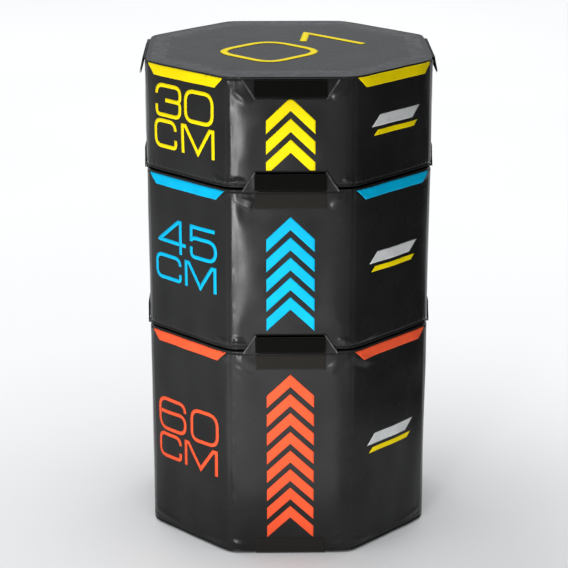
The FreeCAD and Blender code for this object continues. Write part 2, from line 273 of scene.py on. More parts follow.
class Effects:
    """The node groups that several finishes share."""

    @staticmethod
    def group(
        name: str, inputs: dict[str, float], outputs: Sequence[str]
    ) -> tuple[Graph, bpy.types.Node, bpy.types.Node]:
        """Starts a node group with named float sockets.

        Args:
            name: The group's name.
            inputs: Its inputs and their usual values.
            outputs: Its outputs.

        Returns:
            The graph, the group's input node and its output node.
        """
        tree = bpy.data.node_groups.new(name, "ShaderNodeTree")
        for key, value in inputs.items():
            socket = tree.interface.new_socket(key, in_out="INPUT", socket_type="NodeSocketFloat")
            socket.default_value = value
        for key in outputs:
            tree.interface.new_socket(key, in_out="OUTPUT", socket_type="NodeSocketFloat")
        graph = Graph(tree)
        return graph, tree.nodes.new("NodeGroupInput"), tree.nodes.new("NodeGroupOutput")

    @cached_property
    def grain(self) -> bpy.types.NodeTree:
        """Embossed leather grain: raised pebbles and fine pores.

        Returns:
            The group.
        """
        graph, given, out = self.group("leather_grain", {"Scale": 450.0}, ["Height"])
        spot = graph.node("TexCoord").outputs["Object"]
        scale = given.outputs["Scale"]
        pebble = graph.node("TexVoronoi", {"Vector": spot, "Scale": scale}, feature="SMOOTH_F1")
        fine = graph.math("MULTIPLY", scale, 2.3)
        pores = graph.node("TexNoise", {"Vector": spot, "Scale": fine, "Detail": 2.0})
        dome = graph.math("SUBTRACT", 1.0, pebble.outputs["Distance"])
        rough = graph.math("MULTIPLY", pores.outputs["Fac"], 0.35)
        graph.tree.links.new(graph.math("ADD", dome, rough), out.inputs["Height"])
        return graph.tree

    @cached_property
    def mottle(self) -> bpy.types.NodeTree:
        """Slow unevenness of tone or gloss between two values.

        Returns:
            The group.
        """
        usual = {"Scale": 9.0, "Low": 0.0, "High": 1.0}
        graph, given, out = self.group("mottle", usual, ["Value"])
        spot = graph.node("TexCoord").outputs["Object"]
        cloud = graph.node("TexNoise", {"Vector": spot, "Scale": given.outputs["Scale"], "Detail": 1.5})
        value = graph.ranged(cloud.outputs["Fac"], given.outputs["Low"], given.outputs["High"])
        graph.tree.links.new(value, out.inputs["Value"])
        return graph.tree

    @cached_property
    def wear(self) -> bpy.types.NodeTree:
        """Paler edges where the piece's edge attribute and a noise agree: wear on the covers, a painted
        highlight along the flaps' hem lines.

        Returns:
            The group.
        """
        graph, given, out = self.group("edge_wear_and_sheen", {"Scale": 70.0, "Amount": 0.5}, ["Mask"])
        spot = graph.node("TexCoord").outputs["Object"]
        edge = graph.node("Attribute", attribute_name="edge").outputs["Fac"]
        noise = graph.node("TexNoise", {"Vector": spot, "Scale": given.outputs["Scale"], "Detail": 5.0})
        patch = graph.math("MULTIPLY", graph.ranged(noise.outputs["Fac"], 0.2, 1.0), edge)
        mask = graph.math("MULTIPLY", patch, given.outputs["Amount"])
        graph.tree.links.new(mask, out.inputs["Mask"])
        return graph.tree

    @cached_property
    def pile(self) -> bpy.types.NodeTree:
        """The matted threads of hook-and-loop tape, in faint rows.

        Returns:
            The group.
        """
        graph, given, out = self.group("tape_pile", {"Scale": 900.0, "Rows": 420.0}, ["Height", "Tone"])
        spot = graph.node("TexCoord").outputs["Object"]
        tuft = graph.node("TexNoise", {"Vector": spot, "Scale": given.outputs["Scale"], "Detail": 3.0})
        wave = {"Vector": spot, "Scale": given.outputs["Rows"], "Distortion": 2.0}
        rows = graph.node("TexWave", wave, bands_direction="Z")
        ridge = graph.math("MULTIPLY", rows.outputs["Fac"], 0.35)
        height = graph.math("ADD", tuft.outputs["Fac"], ridge)
        graph.tree.links.new(height, out.inputs["Height"])
        graph.tree.links.new(graph.ranged(tuft.outputs["Fac"], 0.0, 1.0), out.inputs["Tone"])
        return graph.tree

    @cached_property
    def weave(self) -> bpy.types.NodeTree:
        """Plain weave: two crossing sets of threads.

        Returns:
            The group.
        """
        graph, given, out = self.group("weave", {"Scale": 330.0}, ["Height"])
        spot = graph.node("TexCoord").outputs["Object"]
        inputs = {"Vector": spot, "Scale": given.outputs["Scale"]}
        warp = graph.node("TexWave", inputs, bands_direction="DIAGONAL")
        weft = graph.node("TexWave", inputs, bands_direction="Z")
        height = graph.math("MAXIMUM", warp.outputs["Fac"], weft.outputs["Fac"])
        graph.tree.links.new(height, out.inputs["Height"])
        return graph.tree


EFFECTS = Effects()


@dataclass(frozen=True)
class Finish:
    """A named material that is made when first asked for."""

    name: str
    colour: Colour
    second: Colour

    def material(self) -> bpy.types.Material:
        """Makes the material, once.

        Returns:
            The material.
        """
        found = bpy.data.materials.get(self.name)
        if found:
            return found
        made = bpy.data.materials.new(self.name)
        made.use_nodes = True
        graph = Graph(made.node_tree)
        self.dress(graph, made.node_tree.nodes["Principled BSDF"])
        return made

    def dress(self, graph: Graph, shader: bpy.types.Node) -> None:
        """Sets and links the shader's inputs, as each kind of finish does."""
        raise NotImplementedError

    def tint(self, graph: Graph, shader: bpy.types.Node, mask: bpy.types.NodeSocket) -> None:
        """Sets the base colour between the finish's two colours."""
        colour = graph.mix(mask, (*self.colour, 1), (*self.second, 1))
        graph.tree.links.new(colour, shader.inputs["Base Color"])

    @staticmethod
    def bump(
        graph: Graph, shader: bpy.types.Node, height: bpy.types.NodeSocket, strength: float, depth: float
    ) -> None:
        """Roughens the shading normal.

        Args:
            graph: The material's nodes.
            shader: Its shader.
            height: The height that varies.
            strength: How much of it shows.
            depth: The height's whole depth.
        """
        inputs = {"Strength": strength, "Distance": depth, "Height": height}
        normal = graph.node("Bump", inputs).outputs["Normal"]
        graph.tree.links.new(normal, shader.inputs["Normal"])


@dataclass(frozen=True)
class VinylFinish(Finish):
    """Black leatherette with a pebbled grain, paler where its edges wear; the flaps' paler hem lines are
    a painted highlight of their turned edges.
    """

    # Paler edge colour and how much of it shows: real wear on the covers, a painted highlight along the
    # flaps' hem lines.
    wear_and_sheen: Colour = (0.075, 0.075, 0.073)
    gloss: Pair = (0.22, 0.30)
    shine: float = 0.15
    wear_and_sheen_amount: float = 0.07

    def dress(self, graph: Graph, shader: bpy.types.Node) -> None:
        """Sets and links the shader's inputs.

        Args:
            graph: The material's nodes.
            shader: Its shader.
        """
        shader.inputs["Specular IOR Level"].default_value = self.shine
        tone = graph.place(EFFECTS.mottle, {"Scale": 7.0})
        base = graph.mix(tone.outputs["Value"], (*self.colour, 1), (*self.second, 1))
        # Paler edges: wear on the cover; on the flaps, a painted highlight of the turned hem edges.
        wear_and_sheen = graph.place(EFFECTS.wear, {"Scale": 45.0, "Amount": self.wear_and_sheen_amount})
        colour = graph.mix(wear_and_sheen.outputs["Mask"], base, (*self.wear_and_sheen, 1))
        graph.tree.links.new(colour, shader.inputs["Base Color"])
        low, high = self.gloss
        gloss = graph.place(EFFECTS.mottle, {"Scale": 16.0, "Low": low, "High": high})
        graph.tree.links.new(gloss.outputs["Value"], shader.inputs["Roughness"])
        grain = graph.place(EFFECTS.grain, {"Scale": 520.0})
        self.bump(graph, shader, grain.outputs["Height"], 0.12, 0.0003)


@dataclass(frozen=True)
class FilmFinish(Finish):
    """Heat-pressed colour film that shows the grain under it."""

    def dress(self, graph: Graph, shader: bpy.types.Node) -> None:
        """Sets and links the shader's inputs.

        Args:
            graph: The material's nodes.
            shader: Its shader.
        """
        shader.inputs["Specular IOR Level"].default_value = 0.06
        tone = graph.place(EFFECTS.mottle, {"Scale": 22.0})
        self.tint(graph, shader, tone.outputs["Value"])
        gloss = graph.place(EFFECTS.mottle, {"Scale": 30.0, "Low": 0.4, "High": 0.52})
        graph.tree.links.new(gloss.outputs["Value"], shader.inputs["Roughness"])
        grain = graph.place(EFFECTS.grain, {"Scale": 520.0})
        self.bump(graph, shader, grain.outputs["Height"], 0.12, 0.0003)


@dataclass(frozen=True)
class TapeFinish(Finish):
    """Hook-and-loop tape: stiff hooks in rows, or matted loops."""

    face: TapeFace = TapeFace.HOOK

    def dress(self, graph: Graph, shader: bpy.types.Node) -> None:
        """Sets and links the shader's inputs.

        Args:
            graph: The material's nodes.
            shader: Its shader.
        """
        loop = self.face is TapeFace.LOOP
        shader.inputs["Specular IOR Level"].default_value = 0.06 if loop else 0.03
        shader.inputs["Sheen Weight"].default_value = 0.06 if loop else 0.0
        pile = graph.place(EFFECTS.pile, {"Scale": 1100.0 if loop else 700.0, "Rows": 260.0})
        self.tint(graph, shader, pile.outputs["Tone"])
        rough = graph.place(EFFECTS.mottle, {"Scale": 60.0, "Low": 0.82, "High": 0.98})
        graph.tree.links.new(rough.outputs["Value"], shader.inputs["Roughness"])
        self.bump(graph, shader, pile.outputs["Height"], 0.8, 0.0012)


@dataclass(frozen=True)
class ClothFinish(Finish):
    """Woven polyester, as in zip tape and sewing thread."""

    scale: float = 330.0

    def dress(self, graph: Graph, shader: bpy.types.Node) -> None:
        """Sets and links the shader's inputs.

        Args:
            graph: The material's nodes.
            shader: Its shader.
        """
        shader.inputs["Specular IOR Level"].default_value = 0.25
        tone = graph.place(EFFECTS.mottle, {"Scale": 120.0})
        self.tint(graph, shader, tone.outputs["Value"])
        rough = graph.place(EFFECTS.mottle, {"Scale": 90.0, "Low": 0.7, "High": 0.85})
        graph.tree.links.new(rough.outputs["Value"], shader.inputs["Roughness"])
        weave = graph.place(EFFECTS.weave, {"Scale": self.scale})
        self.bump(graph, shader, weave.outputs["Height"], 0.6, 0.0004)


@dataclass(frozen=True)
class HardFinish(Finish):
    """Moulded nylon teeth or lacquered metal, a little rubbed."""

    metallic: float = 0.0
    gloss: Pair = (0.3, 0.45)

    def dress(self, graph: Graph, shader: bpy.types.Node) -> None:
        """Sets and links the shader's inputs.

        Args:
            graph: The material's nodes.
            shader: Its shader.
        """
        shader.inputs["Metallic"].default_value = self.metallic
        tone = graph.place(EFFECTS.mottle, {"Scale": 240.0})
        self.tint(graph, shader, tone.outputs["Value"])
        low, high = self.gloss
        gloss = graph.place(EFFECTS.mottle, {"Scale": 400.0, "Low": low, "High": high})
        graph.tree.links.new(gloss.outputs["Value"], shader.inputs["Roughness"])


@dataclass(frozen=True)
class FoamFinish(Finish):
    """Open-celled foam."""

    def dress(self, graph: Graph, shader: bpy.types.Node) -> None:
        """Sets and links the shader's inputs.

        Args:
            graph: The material's nodes.
            shader: Its shader.
        """
        tone = graph.place(EFFECTS.mottle, {"Scale": 40.0})
        self.tint(graph, shader, tone.outputs["Value"])
        rough = graph.place(EFFECTS.mottle, {"Scale": 80.0, "Low": 0.85, "High": 0.97})
        graph.tree.links.new(rough.outputs["Value"], shader.inputs["Roughness"])
        cells = graph.place(EFFECTS.grain, {"Scale": 700.0})
        self.bump(graph, shader, cells.outputs["Height"], 0.7, 0.0008)


@dataclass(frozen=True)
class FloorFinish(Finish):
    """Pale matt studio floor."""

    def dress(self, graph: Graph, shader: bpy.types.Node) -> None:
        """Sets and links the shader's inputs.

        Args:
            graph: The material's nodes.
            shader: Its shader.
        """
        shader.inputs["Specular IOR Level"].default_value = 0.0
        shader.inputs["Roughness"].default_value = 0.9
        tone = graph.place(EFFECTS.mottle, {"Scale": 0.4})
        self.tint(graph, shader, tone.outputs["Value"])


VINYL = VinylFinish("black_leatherette", (0.009, 0.009, 0.0087), (0.014, 0.014, 0.0136))
# The flaps' hem lines are painted paler and strongly, as a highlight of their turned edges.
FLAP_VINYL = VinylFinish(
    "flap_leatherette",
    VINYL.colour,
    VINYL.second,
    wear_and_sheen=(0.13, 0.13, 0.127),
    gloss=(0.38, 0.46),
    shine=0.09,
    wear_and_sheen_amount=0.8,
)
HOOK = TapeFinish("hook_tape_pile", (0.0022, 0.0022, 0.0020), (0.0065, 0.0062, 0.0056), TapeFace.HOOK)
LOOP = TapeFinish("loop_tape_pile", (0.009, 0.008, 0.0068), (0.026, 0.023, 0.020), TapeFace.LOOP)
THREAD = ClothFinish("sewing_thread", (0.012, 0.012, 0.012), (0.03, 0.03, 0.03), 900.0)
ZIP_CLOTH = ClothFinish("zip_tape_weave", (0.012, 0.012, 0.012), (0.026, 0.026, 0.026))
ZIP_TEETH = HardFinish("zip_nylon", (0.014, 0.014, 0.014), (0.03, 0.03, 0.03))
ZIP_METAL = HardFinish("zip_gunmetal", (0.10, 0.10, 0.105), (0.18, 0.18, 0.185), 1.0, (0.28, 0.42))
FOAM = FoamFinish("polyethylene_foam", (0.05, 0.05, 0.053), (0.085, 0.085, 0.09))
GREY_FILM = FilmFinish("grey_film", (0.52, 0.53, 0.53), (0.60, 0.61, 0.61))
FLOOR = FloorFinish("studio_floor", (0.80, 0.80, 0.80), (0.84, 0.84, 0.84))
BLACK_CARD = FloorFinish("black_card", (0.008, 0.008, 0.008), (0.012, 0.012, 0.012))


def ink_film(ink: Ink) -> FilmFinish:
    """Gives the film finish of a print colour."""
    deep = tuple(0.9 * part for part in ink.value)
    return FilmFinish(f"{ink.name.lower()}_film", ink.value, deep)


@dataclass(frozen=True)
class Plan:
    """The octagonal outline of a box, measured by the distance along it.

    The distance starts at the left end of the front's flat and runs counter-clockwise seen
    from above. Side 0 is the front, side 1 the front right, and so on.
    """

    across: float = 0.775
    face: float = 0.337
    corner: float = 0.030

    @cached_property
    def angles(self) -> np.ndarray:
        """Directions in which the sides face."""
        return np.radians(45 * np.arange(8) - 90)

    @cached_property
    def reaches(self) -> np.ndarray:
        """Distances of the sides from the axis."""
        return np.where(np.arange(8) % 2 == 0, self.across / 2, (self.across + self.face) / math.sqrt(8))

    @cached_property
    def centres(self) -> np.ndarray:
        """Centres of the corner arcs, each after its side.

        Returns:
            The eight points.
        """
        ways = np.stack([np.cos(self.angles), np.sin(self.angles)], 1)
        near = self.reaches - self.corner
        pairs = [(side, (side + 1) % 8) for side in range(8)]
        return np.array([np.linalg.solve(ways[list(pair)], near[list(pair)]) for pair in pairs])

    @cached_property
    def ends(self) -> np.ndarray:
        """Distances at which the flats and arcs begin and end, in turn.

        Returns:
            The seventeen distances.
        """
        flats = np.linalg.norm(self.centres - np.roll(self.centres, 1, axis=0), axis=1)
        runs = np.stack([flats, np.full(8, self.corner * math.pi / 4)], 1).ravel()
        return np.concatenate([[0.0], np.cumsum(runs)])

    @property
    def length(self) -> float:
        """The whole way round."""
        return float(self.ends[-1])

    @cached_property
    def corners(self) -> np.ndarray:
        """Distances at the middles of the corner arcs."""
        return (self.ends[1::2] + self.ends[2::2]) / 2

    def middle(self, side: int) -> float:
        """Distance at the middle of a side."""
        return float(self.ends[2 * side] + self.ends[2 * side + 1]) / 2

    def columns(self, zone: float, fine: float, coarse: float, bend: int) -> np.ndarray:
        """Stops all the way round, close together near the corners.

        Args:
            zone: Length of the fine zone at each end of a side.
            fine: Spacing in the fine zones.
            coarse: Spacing between them.
            bend: How many steps a corner arc takes.

        Returns:
            The stops in order.
        """
        stops = []
        for side in range(8):
            low, high, last = self.ends[2 * side : 2 * side + 3]
            stops += [graded(low, high, zone, fine, coarse), np.linspace(high, last, bend + 1)]
        return np.unique(np.round(np.concatenate(stops), 7))

    def locate(self, along: np.ndarray) -> tuple[np.ndarray, np.ndarray]:
        """Finds points on the outline.

        Args:
            along: Distances along it.

        Returns:
            The points and the outward directions there.
        """
        along = np.mod(along, self.length)
        run = cell(self.ends, along)
        side, past, curved = run // 2, along - self.ends[run], run % 2 == 1
        turn = self.angles[side] + np.where(curved, past / self.corner, 0.0)
        normal = np.stack([np.cos(turn), np.sin(turn)], -1)
        tangent = np.stack([-np.sin(turn), np.cos(turn)], -1)
        centre = np.where(curved[:, None], self.centres[side], self.centres[side - 1])
        return centre + self.corner * normal + tangent * np.where(curved, 0, past)[:, None], normal

    def spot(self, along: np.ndarray) -> tuple[np.ndarray, np.ndarray, np.ndarray]:
        """Says where distances lie on the sides.

        Args:
            along: Distances along the outline.

        Returns:
            The sides, the places to the right of their middles, and the distances to the
            nearest corner.
        """
        along = np.mod(along, self.length)
        side = np.searchsorted(self.corners, along) % 8
        middles = np.array([self.middle(number) for number in range(8)])
        half = self.length / 2
        x = np.mod(along - middles[side] + half, self.length) - half
        gaps = np.abs(np.mod(along[:, None] - self.corners + half, self.length) - half)
        return side, x, gaps.min(1)


PLAN = Plan()


@dataclass(frozen=True)
class Fold:
    """A slack ridge in the vinyl of one side, between two places (x, z from the base).

    The ridge is leaf-shaped. It is highest at its peak, a share of its length, and its
    upper slope is longer than its lower one by its lean. A greater swell flattens its crown
    and steepens its flanks.
    """

    side: int
    start: Pair
    end: Pair
    width: float
    height: float
    peak: float = 0.5
    lean: float = 1.0
    swell: float = 2.0

    def rise(self, side: np.ndarray, x: np.ndarray, z: np.ndarray) -> np.ndarray:
        """Finds the ridge's height at places on the wall.

        Args:
            side: The sides of the places.
            x: How far they are to the right of the sides' middles.
            z: Their heights above the box's base.

        Returns:
            The heights.
        """
        start, run = np.array(self.start), np.array(self.end) - np.array(self.start)
        length = float(np.hypot(*run))
        dx, dz = x - start[0], z - start[1]
        part = np.clip((dx * run[0] + dz * run[1]) / length**2, 0, 1)
        off = np.hypot(dx - part * run[0], dz - part * run[1])
        off *= np.where(dz > part * run[1], 1 / self.lean, self.lean)
        climb, fall = 2 * self.peak, 2 - 2 * self.peak
        top = self.peak**climb * (1 - self.peak) ** fall
        crest = part**climb * (1 - part) ** fall / top
        reach = self.width * (0.35 + 0.65 * np.sqrt(crest))
        ridge = self.height * crest * np.exp(-((off / reach) ** self.swell))
        return np.where(side == self.side, ridge, 0.0)


@dataclass
class Waves:
    """Seeded irregular waves that close on themselves round the plan."""

    seed: int
    shortest: float
    longest: float
    count: int = 18

    def __post_init__(self) -> None:
        """Draws the waves."""
        rng = np.random.default_rng(self.seed)
        lengths = np.exp(rng.uniform(np.log(self.shortest), np.log(self.longest), self.count))
        self.turns = np.maximum(1, np.rint(PLAN.length / lengths)) * rng.choice([-1, 1], self.count)
        self.lift = rng.uniform(-1, 1, self.count) * 2 * math.pi / (2.5 * lengths)
        self.phase = rng.uniform(0, 2 * math.pi, self.count)
        self.size = rng.uniform(0.5, 1.0, self.count) / math.sqrt(self.count / 2)

    def at(self, along: np.ndarray, z: np.ndarray) -> np.ndarray:
        """Finds the waves' height, mostly within 1 either way.

        Args:
            along: Distances round the plan.
            z: Heights above the box's base.

        Returns:
            The heights.
        """
        total = np.zeros(len(along))
        for turns, lift, phase, size in zip(self.turns, self.lift, self.phase, self.size):
            total += size * np.sin(2 * math.pi * turns * along / PLAN.length + lift * z + phase)
        return total


@dataclass
class Swelling:
    """A cloth simulation of a cover that is filled and held at its seams.

    The result is how far each place of the wall moved out, kept on the simulated grid.
    """

    columns: np.ndarray
    rows: np.ndarray
    frames: int = 20
    pressure: float = 4.0
    most: float = 0.0034
    moved: np.ndarray = field(init=False)

    def run(
        self, name: str, place: Placer, held: Callable[[np.ndarray, np.ndarray], np.ndarray]
    ) -> None:
        """Simulates the skin and keeps its movement.

        Args:
            name: The skin's passing name.
            place: Puts the grid of columns and row numbers in its place.
            held: Says how firmly each place of the grid is held.
        """
        bm = bmesh.new()
        number = bm.verts.layers.int.new("place")
        verts = add_sheet(bm, self.columns, np.arange(len(self.rows)), place)
        for index, vert in enumerate(verts):
            vert[number] = index
        along = np.tile(self.columns, len(self.rows))
        firm = held(along, np.repeat(self.rows[:, 2], len(self.columns)))
        bmesh.ops.remove_doubles(bm, verts=bm.verts[:], dist=1e-6)
        bm.verts.ensure_lookup_table()
        places = np.array([vert[number] for vert in bm.verts])
        mesh = bpy.data.meshes.new(name)
        bm.to_mesh(mesh)
        bm.free()
        skin = bpy.data.objects.new(name, mesh)
        bpy.context.scene.collection.objects.link(skin)
        pins = skin.vertex_groups.new(name="held")
        for index, spot in enumerate(places):
            pins.add([index], float(firm[spot]), "REPLACE")
        rest = np.array([vert.co for vert in mesh.vertices])
        shift = self.simulate(skin) - rest
        _, ways = PLAN.locate(along[places])
        out = (shift[:, :2] * ways).sum(1)
        out *= min(1.0, self.most / out.max())
        moved = np.zeros(len(along))
        moved[places] = out
        self.moved = moved.reshape(len(self.rows), len(self.columns))
        self.moved[:, -1] = self.moved[:, 0]
        bpy.data.objects.remove(skin)
        bpy.data.meshes.remove(mesh)

    def simulate(self, skin: bpy.types.Object) -> np.ndarray:
        """Steps the simulation.

        Args:
            skin: The skin, with its held group.

        Returns:
            The points it ends at.
        """
        cloth = skin.modifiers.new("swelling", "CLOTH")
        setup = cloth.settings
        setup.quality = 4
        setup.mass = 0.35
        setup.tension_stiffness = setup.compression_stiffness = 25.0
        setup.shear_stiffness = 12.0
        setup.bending_stiffness = 1.2
        setup.use_pressure = True
        setup.uniform_pressure_force = self.pressure
        setup.vertex_group_mass = "held"
        setup.effector_weights.gravity = 0.0
        cloth.point_cache.frame_start, cloth.point_cache.frame_end = 1, self.frames
        scene = bpy.context.scene
        for number in range(1, self.frames + 1):
            scene.frame_set(number)
        solved = skin.evaluated_get(bpy.context.evaluated_depsgraph_get()).data
        points = np.array([vert.co for vert in solved.vertices])
        scene.frame_set(1)
        return points

    def at(self, along: np.ndarray, z: np.ndarray) -> np.ndarray:
        """Finds the outward movement at places of the wall.

        Args:
            along: Distances round the plan.
            z: Heights above the box's base.

        Returns:
            The distances outwards.
        """
        wall = self.rows[:, 1] == 0
        heights, moved = self.rows[wall, 2], self.moved[wall]
        column, row = cell(self.columns, along), cell(heights, z)
        across = (along - self.columns[column]) / (self.columns[column + 1] - self.columns[column])
        up = np.clip((z - heights[row]) / (heights[row + 1] - heights[row]), 0, 1)
        low = moved[row, column] * (1 - across) + moved[row, column + 1] * across
        high = moved[row + 1, column] * (1 - across) + moved[row + 1, column + 1] * across
        return low * (1 - up) + high * up


@dataclass
class Cover:
    """The sewn vinyl cover of one box: base, wall and top joined by turned seams."""

    box: str
    base: float
    height: float
    seed: int
    folds: Sequence[Fold]
    rim: float = 0.006
    rim_reach: float = 0.032
    base_seam: float = 0.010
    top_seam: float = 0.007
    tuck: float = 0.0028
    draw_in: float = 0.0046
    draw_zone: float = 0.065
    sag: float = 0.0020
    shoulder: float = 0.0020
    zip_low: float = 0.060
    zip_high: float = 0.070
    zip_inset: float = 0.016
    slot_depth: float = 0.0014
    flap_zone: Pair = (0.116, 0.148)
    join_zone: Pair = (0.050, 0.100)
    stow_zone: Pair = (0.056, 0.112)
    zip_zone: Pair = (0.078, 0.115)
    waver: float = 0.0007
    pucker: float = 0.0007
    pucker_zone: float = 0.016
    panel_drop: float = 0.0011
    panel_pucker: float = 0.0003
    panel_waver: float = 0.0003
    panel_zone: float = 0.036
    worn_corner: float = 0.012
    worn_rim: float = 0.004
    tree: BVHTree = field(init=False, repr=False)

    @cached_property
    def zip_run(self) -> Pair:
        """Distances along the plan between which the zip's slot runs."""
        reach = (PLAN.across - PLAN.face) / math.sqrt(8) - self.zip_inset
        return PLAN.middle(3) - reach, PLAN.middle(5) + reach

    def skin(self, inner: np.ndarray, bends: int, wall: np.ndarray) -> np.ndarray:
        """Lays out rows from the middle of the base to the middle of the top.

        Args:
            inner: Shares of the way to the middle at which the panels have rows.
            bends: How many rows go round each rim.
            wall: Heights of the wall's rows.

        Returns:
            Each row's shrink, inset and z.
        """
        turn = np.linspace(0, math.pi / 2, bends)
        inset, z = self.rim_reach * (1 - np.sin(turn)), self.rim * (1 - np.cos(turn))
        panel = np.stack([inner, np.full_like(inner, self.rim_reach), np.zeros_like(inner)], 1)
        under = np.concatenate([panel, np.stack([np.zeros(bends), inset, z], 1)])
        side = np.stack([np.zeros_like(wall), np.zeros_like(wall), wall], 1)
        return np.concatenate([under, side, under[::-1] * (1, 1, -1) + (0, 0, self.height)])

    @cached_property
    def rows(self) -> np.ndarray:
        """The visible cover's rows, close together at seams, tapes and zip.

        Returns:
            Each row's shrink, inset and z.
        """
        close = np.array([0.165, 0.135, 0.11, 0.088, 0.068, 0.05, 0.034, 0.02, 0.009])
        near = np.cumsum([0.0007, 0.0009, 0.0012, 0.0016, 0.002, 0.0025])
        top = self.height - self.top_seam
        wall = graded(self.base_seam, top, 0.075, 0.0034, 0.008)
        slot = np.array([self.zip_low, self.zip_high])
        extra = np.concatenate([slot - 0.0012, slot, slot + 0.0012])
        seams = np.concatenate([self.base_seam + near, top - near])
        wall = np.unique(np.round(np.concatenate([wall, extra, seams]), 6))
        wall = wall[np.concatenate([[True], np.diff(wall) > 0.0004])]
        lips = np.array([self.rim + 0.0013, self.base_seam - 0.0018, self.base_seam - 0.0008])
        side = np.concatenate([lips, wall, [self.height - self.rim - 0.0004]])
        return self.skin(np.concatenate([np.linspace(1, 0.2, 21), close]), 14, side)

    @cached_property
    def swelling(self) -> Swelling:
        """The cloth simulation of this cover, run when first asked for.

        Returns:
            The simulation with its result.
        """
        inner = np.array([1, 0.85, 0.65, 0.45, 0.3, 0.18, 0.1, 0.04])
        wall = np.linspace(self.base_seam, self.height - self.top_seam, round(self.height / 0.014))
        rows = self.skin(inner, 4, wall)
        made = Swelling(PLAN.columns(0.04, 0.010, 0.016, 3), rows)

        def place(along: np.ndarray, row: np.ndarray) -> np.ndarray:
            """Puts the grid on the drawn-in plan.

            Args:
                along: Distances round the plan.
                row: Numbers of the rows.

            Returns:
                The points.
            """
            shrink, inset, z = rows[row.astype(int)].T
            point, normal = PLAN.locate(along)
            out = self.drawn(along) * (1 - inset / self.rim_reach) - inset
            flat = (point + normal * out[:, None]) * (1 - shrink)[:, None]
            return np.column_stack([flat, self.base + z])

        made.run(f"{self.box}_swelling", place, self.held)
        LOG.info("%s_cover: the cloth moved up to %.1f mm", self.box, made.moved.max() * 1e3)
        return made

    def drawn(self, along: np.ndarray) -> np.ndarray:
        """Gives how far the vinyl is drawn in towards the corners."""
        return -self.draw_in * np.clip(1 - PLAN.spot(along)[2] / self.draw_zone, 0, 1) ** 2.4

    def held(self, along: np.ndarray, z: np.ndarray) -> np.ndarray:
        """Says how firmly seams, tapes and zip hold the vinyl.

        Args:
            along: Distances round the plan.
            z: Heights above the box's base.

        Returns:
            Shares, 1 where it is held fast.
        """
        side, x, _ = PLAN.spot(along)
        sewn = (z < self.base_seam + 1e-6) | (z > self.height - self.top_seam - 1e-6)
        return np.maximum(sewn, self.calm(side, x, z))

    def calm(self, side: np.ndarray, x: np.ndarray, z: np.ndarray) -> np.ndarray:
        """Says where the wall is held flat, by tapes and flaps or by the zip.

        Args:
            side: The sides of the places.
            x: How far they are to the right of the sides' middles.
            z: Their heights above the box's base.

        Returns:
            Shares, 1 where it is flat.
        """
        near = fade(np.abs(x), *self.flap_zone)
        ends = np.maximum(fade(z, *self.join_zone), fade(self.height - z, *self.stow_zone))
        zipped = np.where((side >= 3) & (side <= 5), fade(z, *self.zip_zone), 0.0)
        return np.maximum(np.where(side % 2 == 0, near * ends, 0.0), zipped)

    def slack(self, along: np.ndarray, z: np.ndarray) -> np.ndarray:
        """Gives how far the vinyl stands out from the plan.

        Args:
            along: Distances round the plan.
            z: Heights above the box's base.

        Returns:
            The distances outwards.
        """
        side, x, gap = PLAN.spot(along)
        low, high = z - self.base_seam, self.height - self.top_seam - z
        seam = np.minimum(np.abs(low), np.abs(high))
        inside = np.clip(np.minimum(low, high), 0, None)
        loose = 1 - self.calm(side, x, z)
        out = self.drawn(along) + loose * self.swelling.at(np.mod(along, PLAN.length), z)
        out += self.waver * loose * Waves(self.seed, 0.09, 0.30).at(along, z)
        gather = np.clip(Waves(self.seed + 1, 0.011, 0.026, 26).at(along, 0.4 * z), -0.4, None)
        corner = 0.45 + 0.9 * np.exp(-gap / 0.05)
        gathered = np.exp(-((inside / self.pucker_zone) ** 1.2)) * (inside > 0)
        out += self.pucker * corner * loose * gather * gathered
        for fold in self.folds:
            out += fold.rise(side, x, z)
        out -= self.tuck * np.exp(-((seam / 0.0030) ** 1.6))
        start, end = self.zip_run
        slot = fade(np.abs(z - (self.zip_low + self.zip_high) / 2), 0.0046, 0.0056)
        run = (along > start) & (along < end)
        return out - np.where(run, self.slot_depth * slot, 0.0)

    def panel(
        self, along: np.ndarray, rim: np.ndarray, shrink: np.ndarray, top: np.ndarray
    ) -> np.ndarray:
        """Gives how far the top or base panel lies inside the box's height.

        Args:
            along: Distances round the plan.
            rim: Points of the panel's rim, outwards of the places asked for.
            shrink: Shares of the way from the rim to the middle.
            top: Whether the places are on the top panel.

        Returns:
            The distances inwards.
        """
        edge = np.hypot(rim[:, 0], rim[:, 1]) * shrink
        x, y = (rim * (1 - shrink)[:, None]).T
        near = np.exp(-((edge / self.panel_zone) ** 2))
        gather = Waves(self.seed + 2, 0.018, 0.05, 24).at(along, shrink)
        broad = np.sin(9 * x + self.seed) * np.sin(8 * y + 2 * self.seed)
        rounded = np.where(top, self.shoulder, self.sag) - self.panel_pucker * gather
        return self.panel_drop + rounded * near - self.panel_waver * broad

    def place(self, along: np.ndarray, row: np.ndarray) -> np.ndarray:
        """Puts the cover's grid in its place.

        Rows inside the rim shrink towards the axis, so that their corners don't cross.

        Args:
            along: Distances round the plan.
            row: Numbers of the rows.

        Returns:
            The points.
        """
        shrink, inset, z = self.rows[row.astype(int)].T
        point, normal = PLAN.locate(along)
        out = self.slack(along, z) * (1 - inset / self.rim_reach)
        rim = point * (1 - 2 * inset / PLAN.across)[:, None] + normal * out[:, None]
        top = z > self.height / 2
        settled = 1 - fade(inset, 0, self.rim_reach)
        lift = self.panel(along, rim, shrink, top) * settled * np.where(top, -1, 1)
        return np.column_stack([rim * (1 - shrink)[:, None], self.base + z + lift])

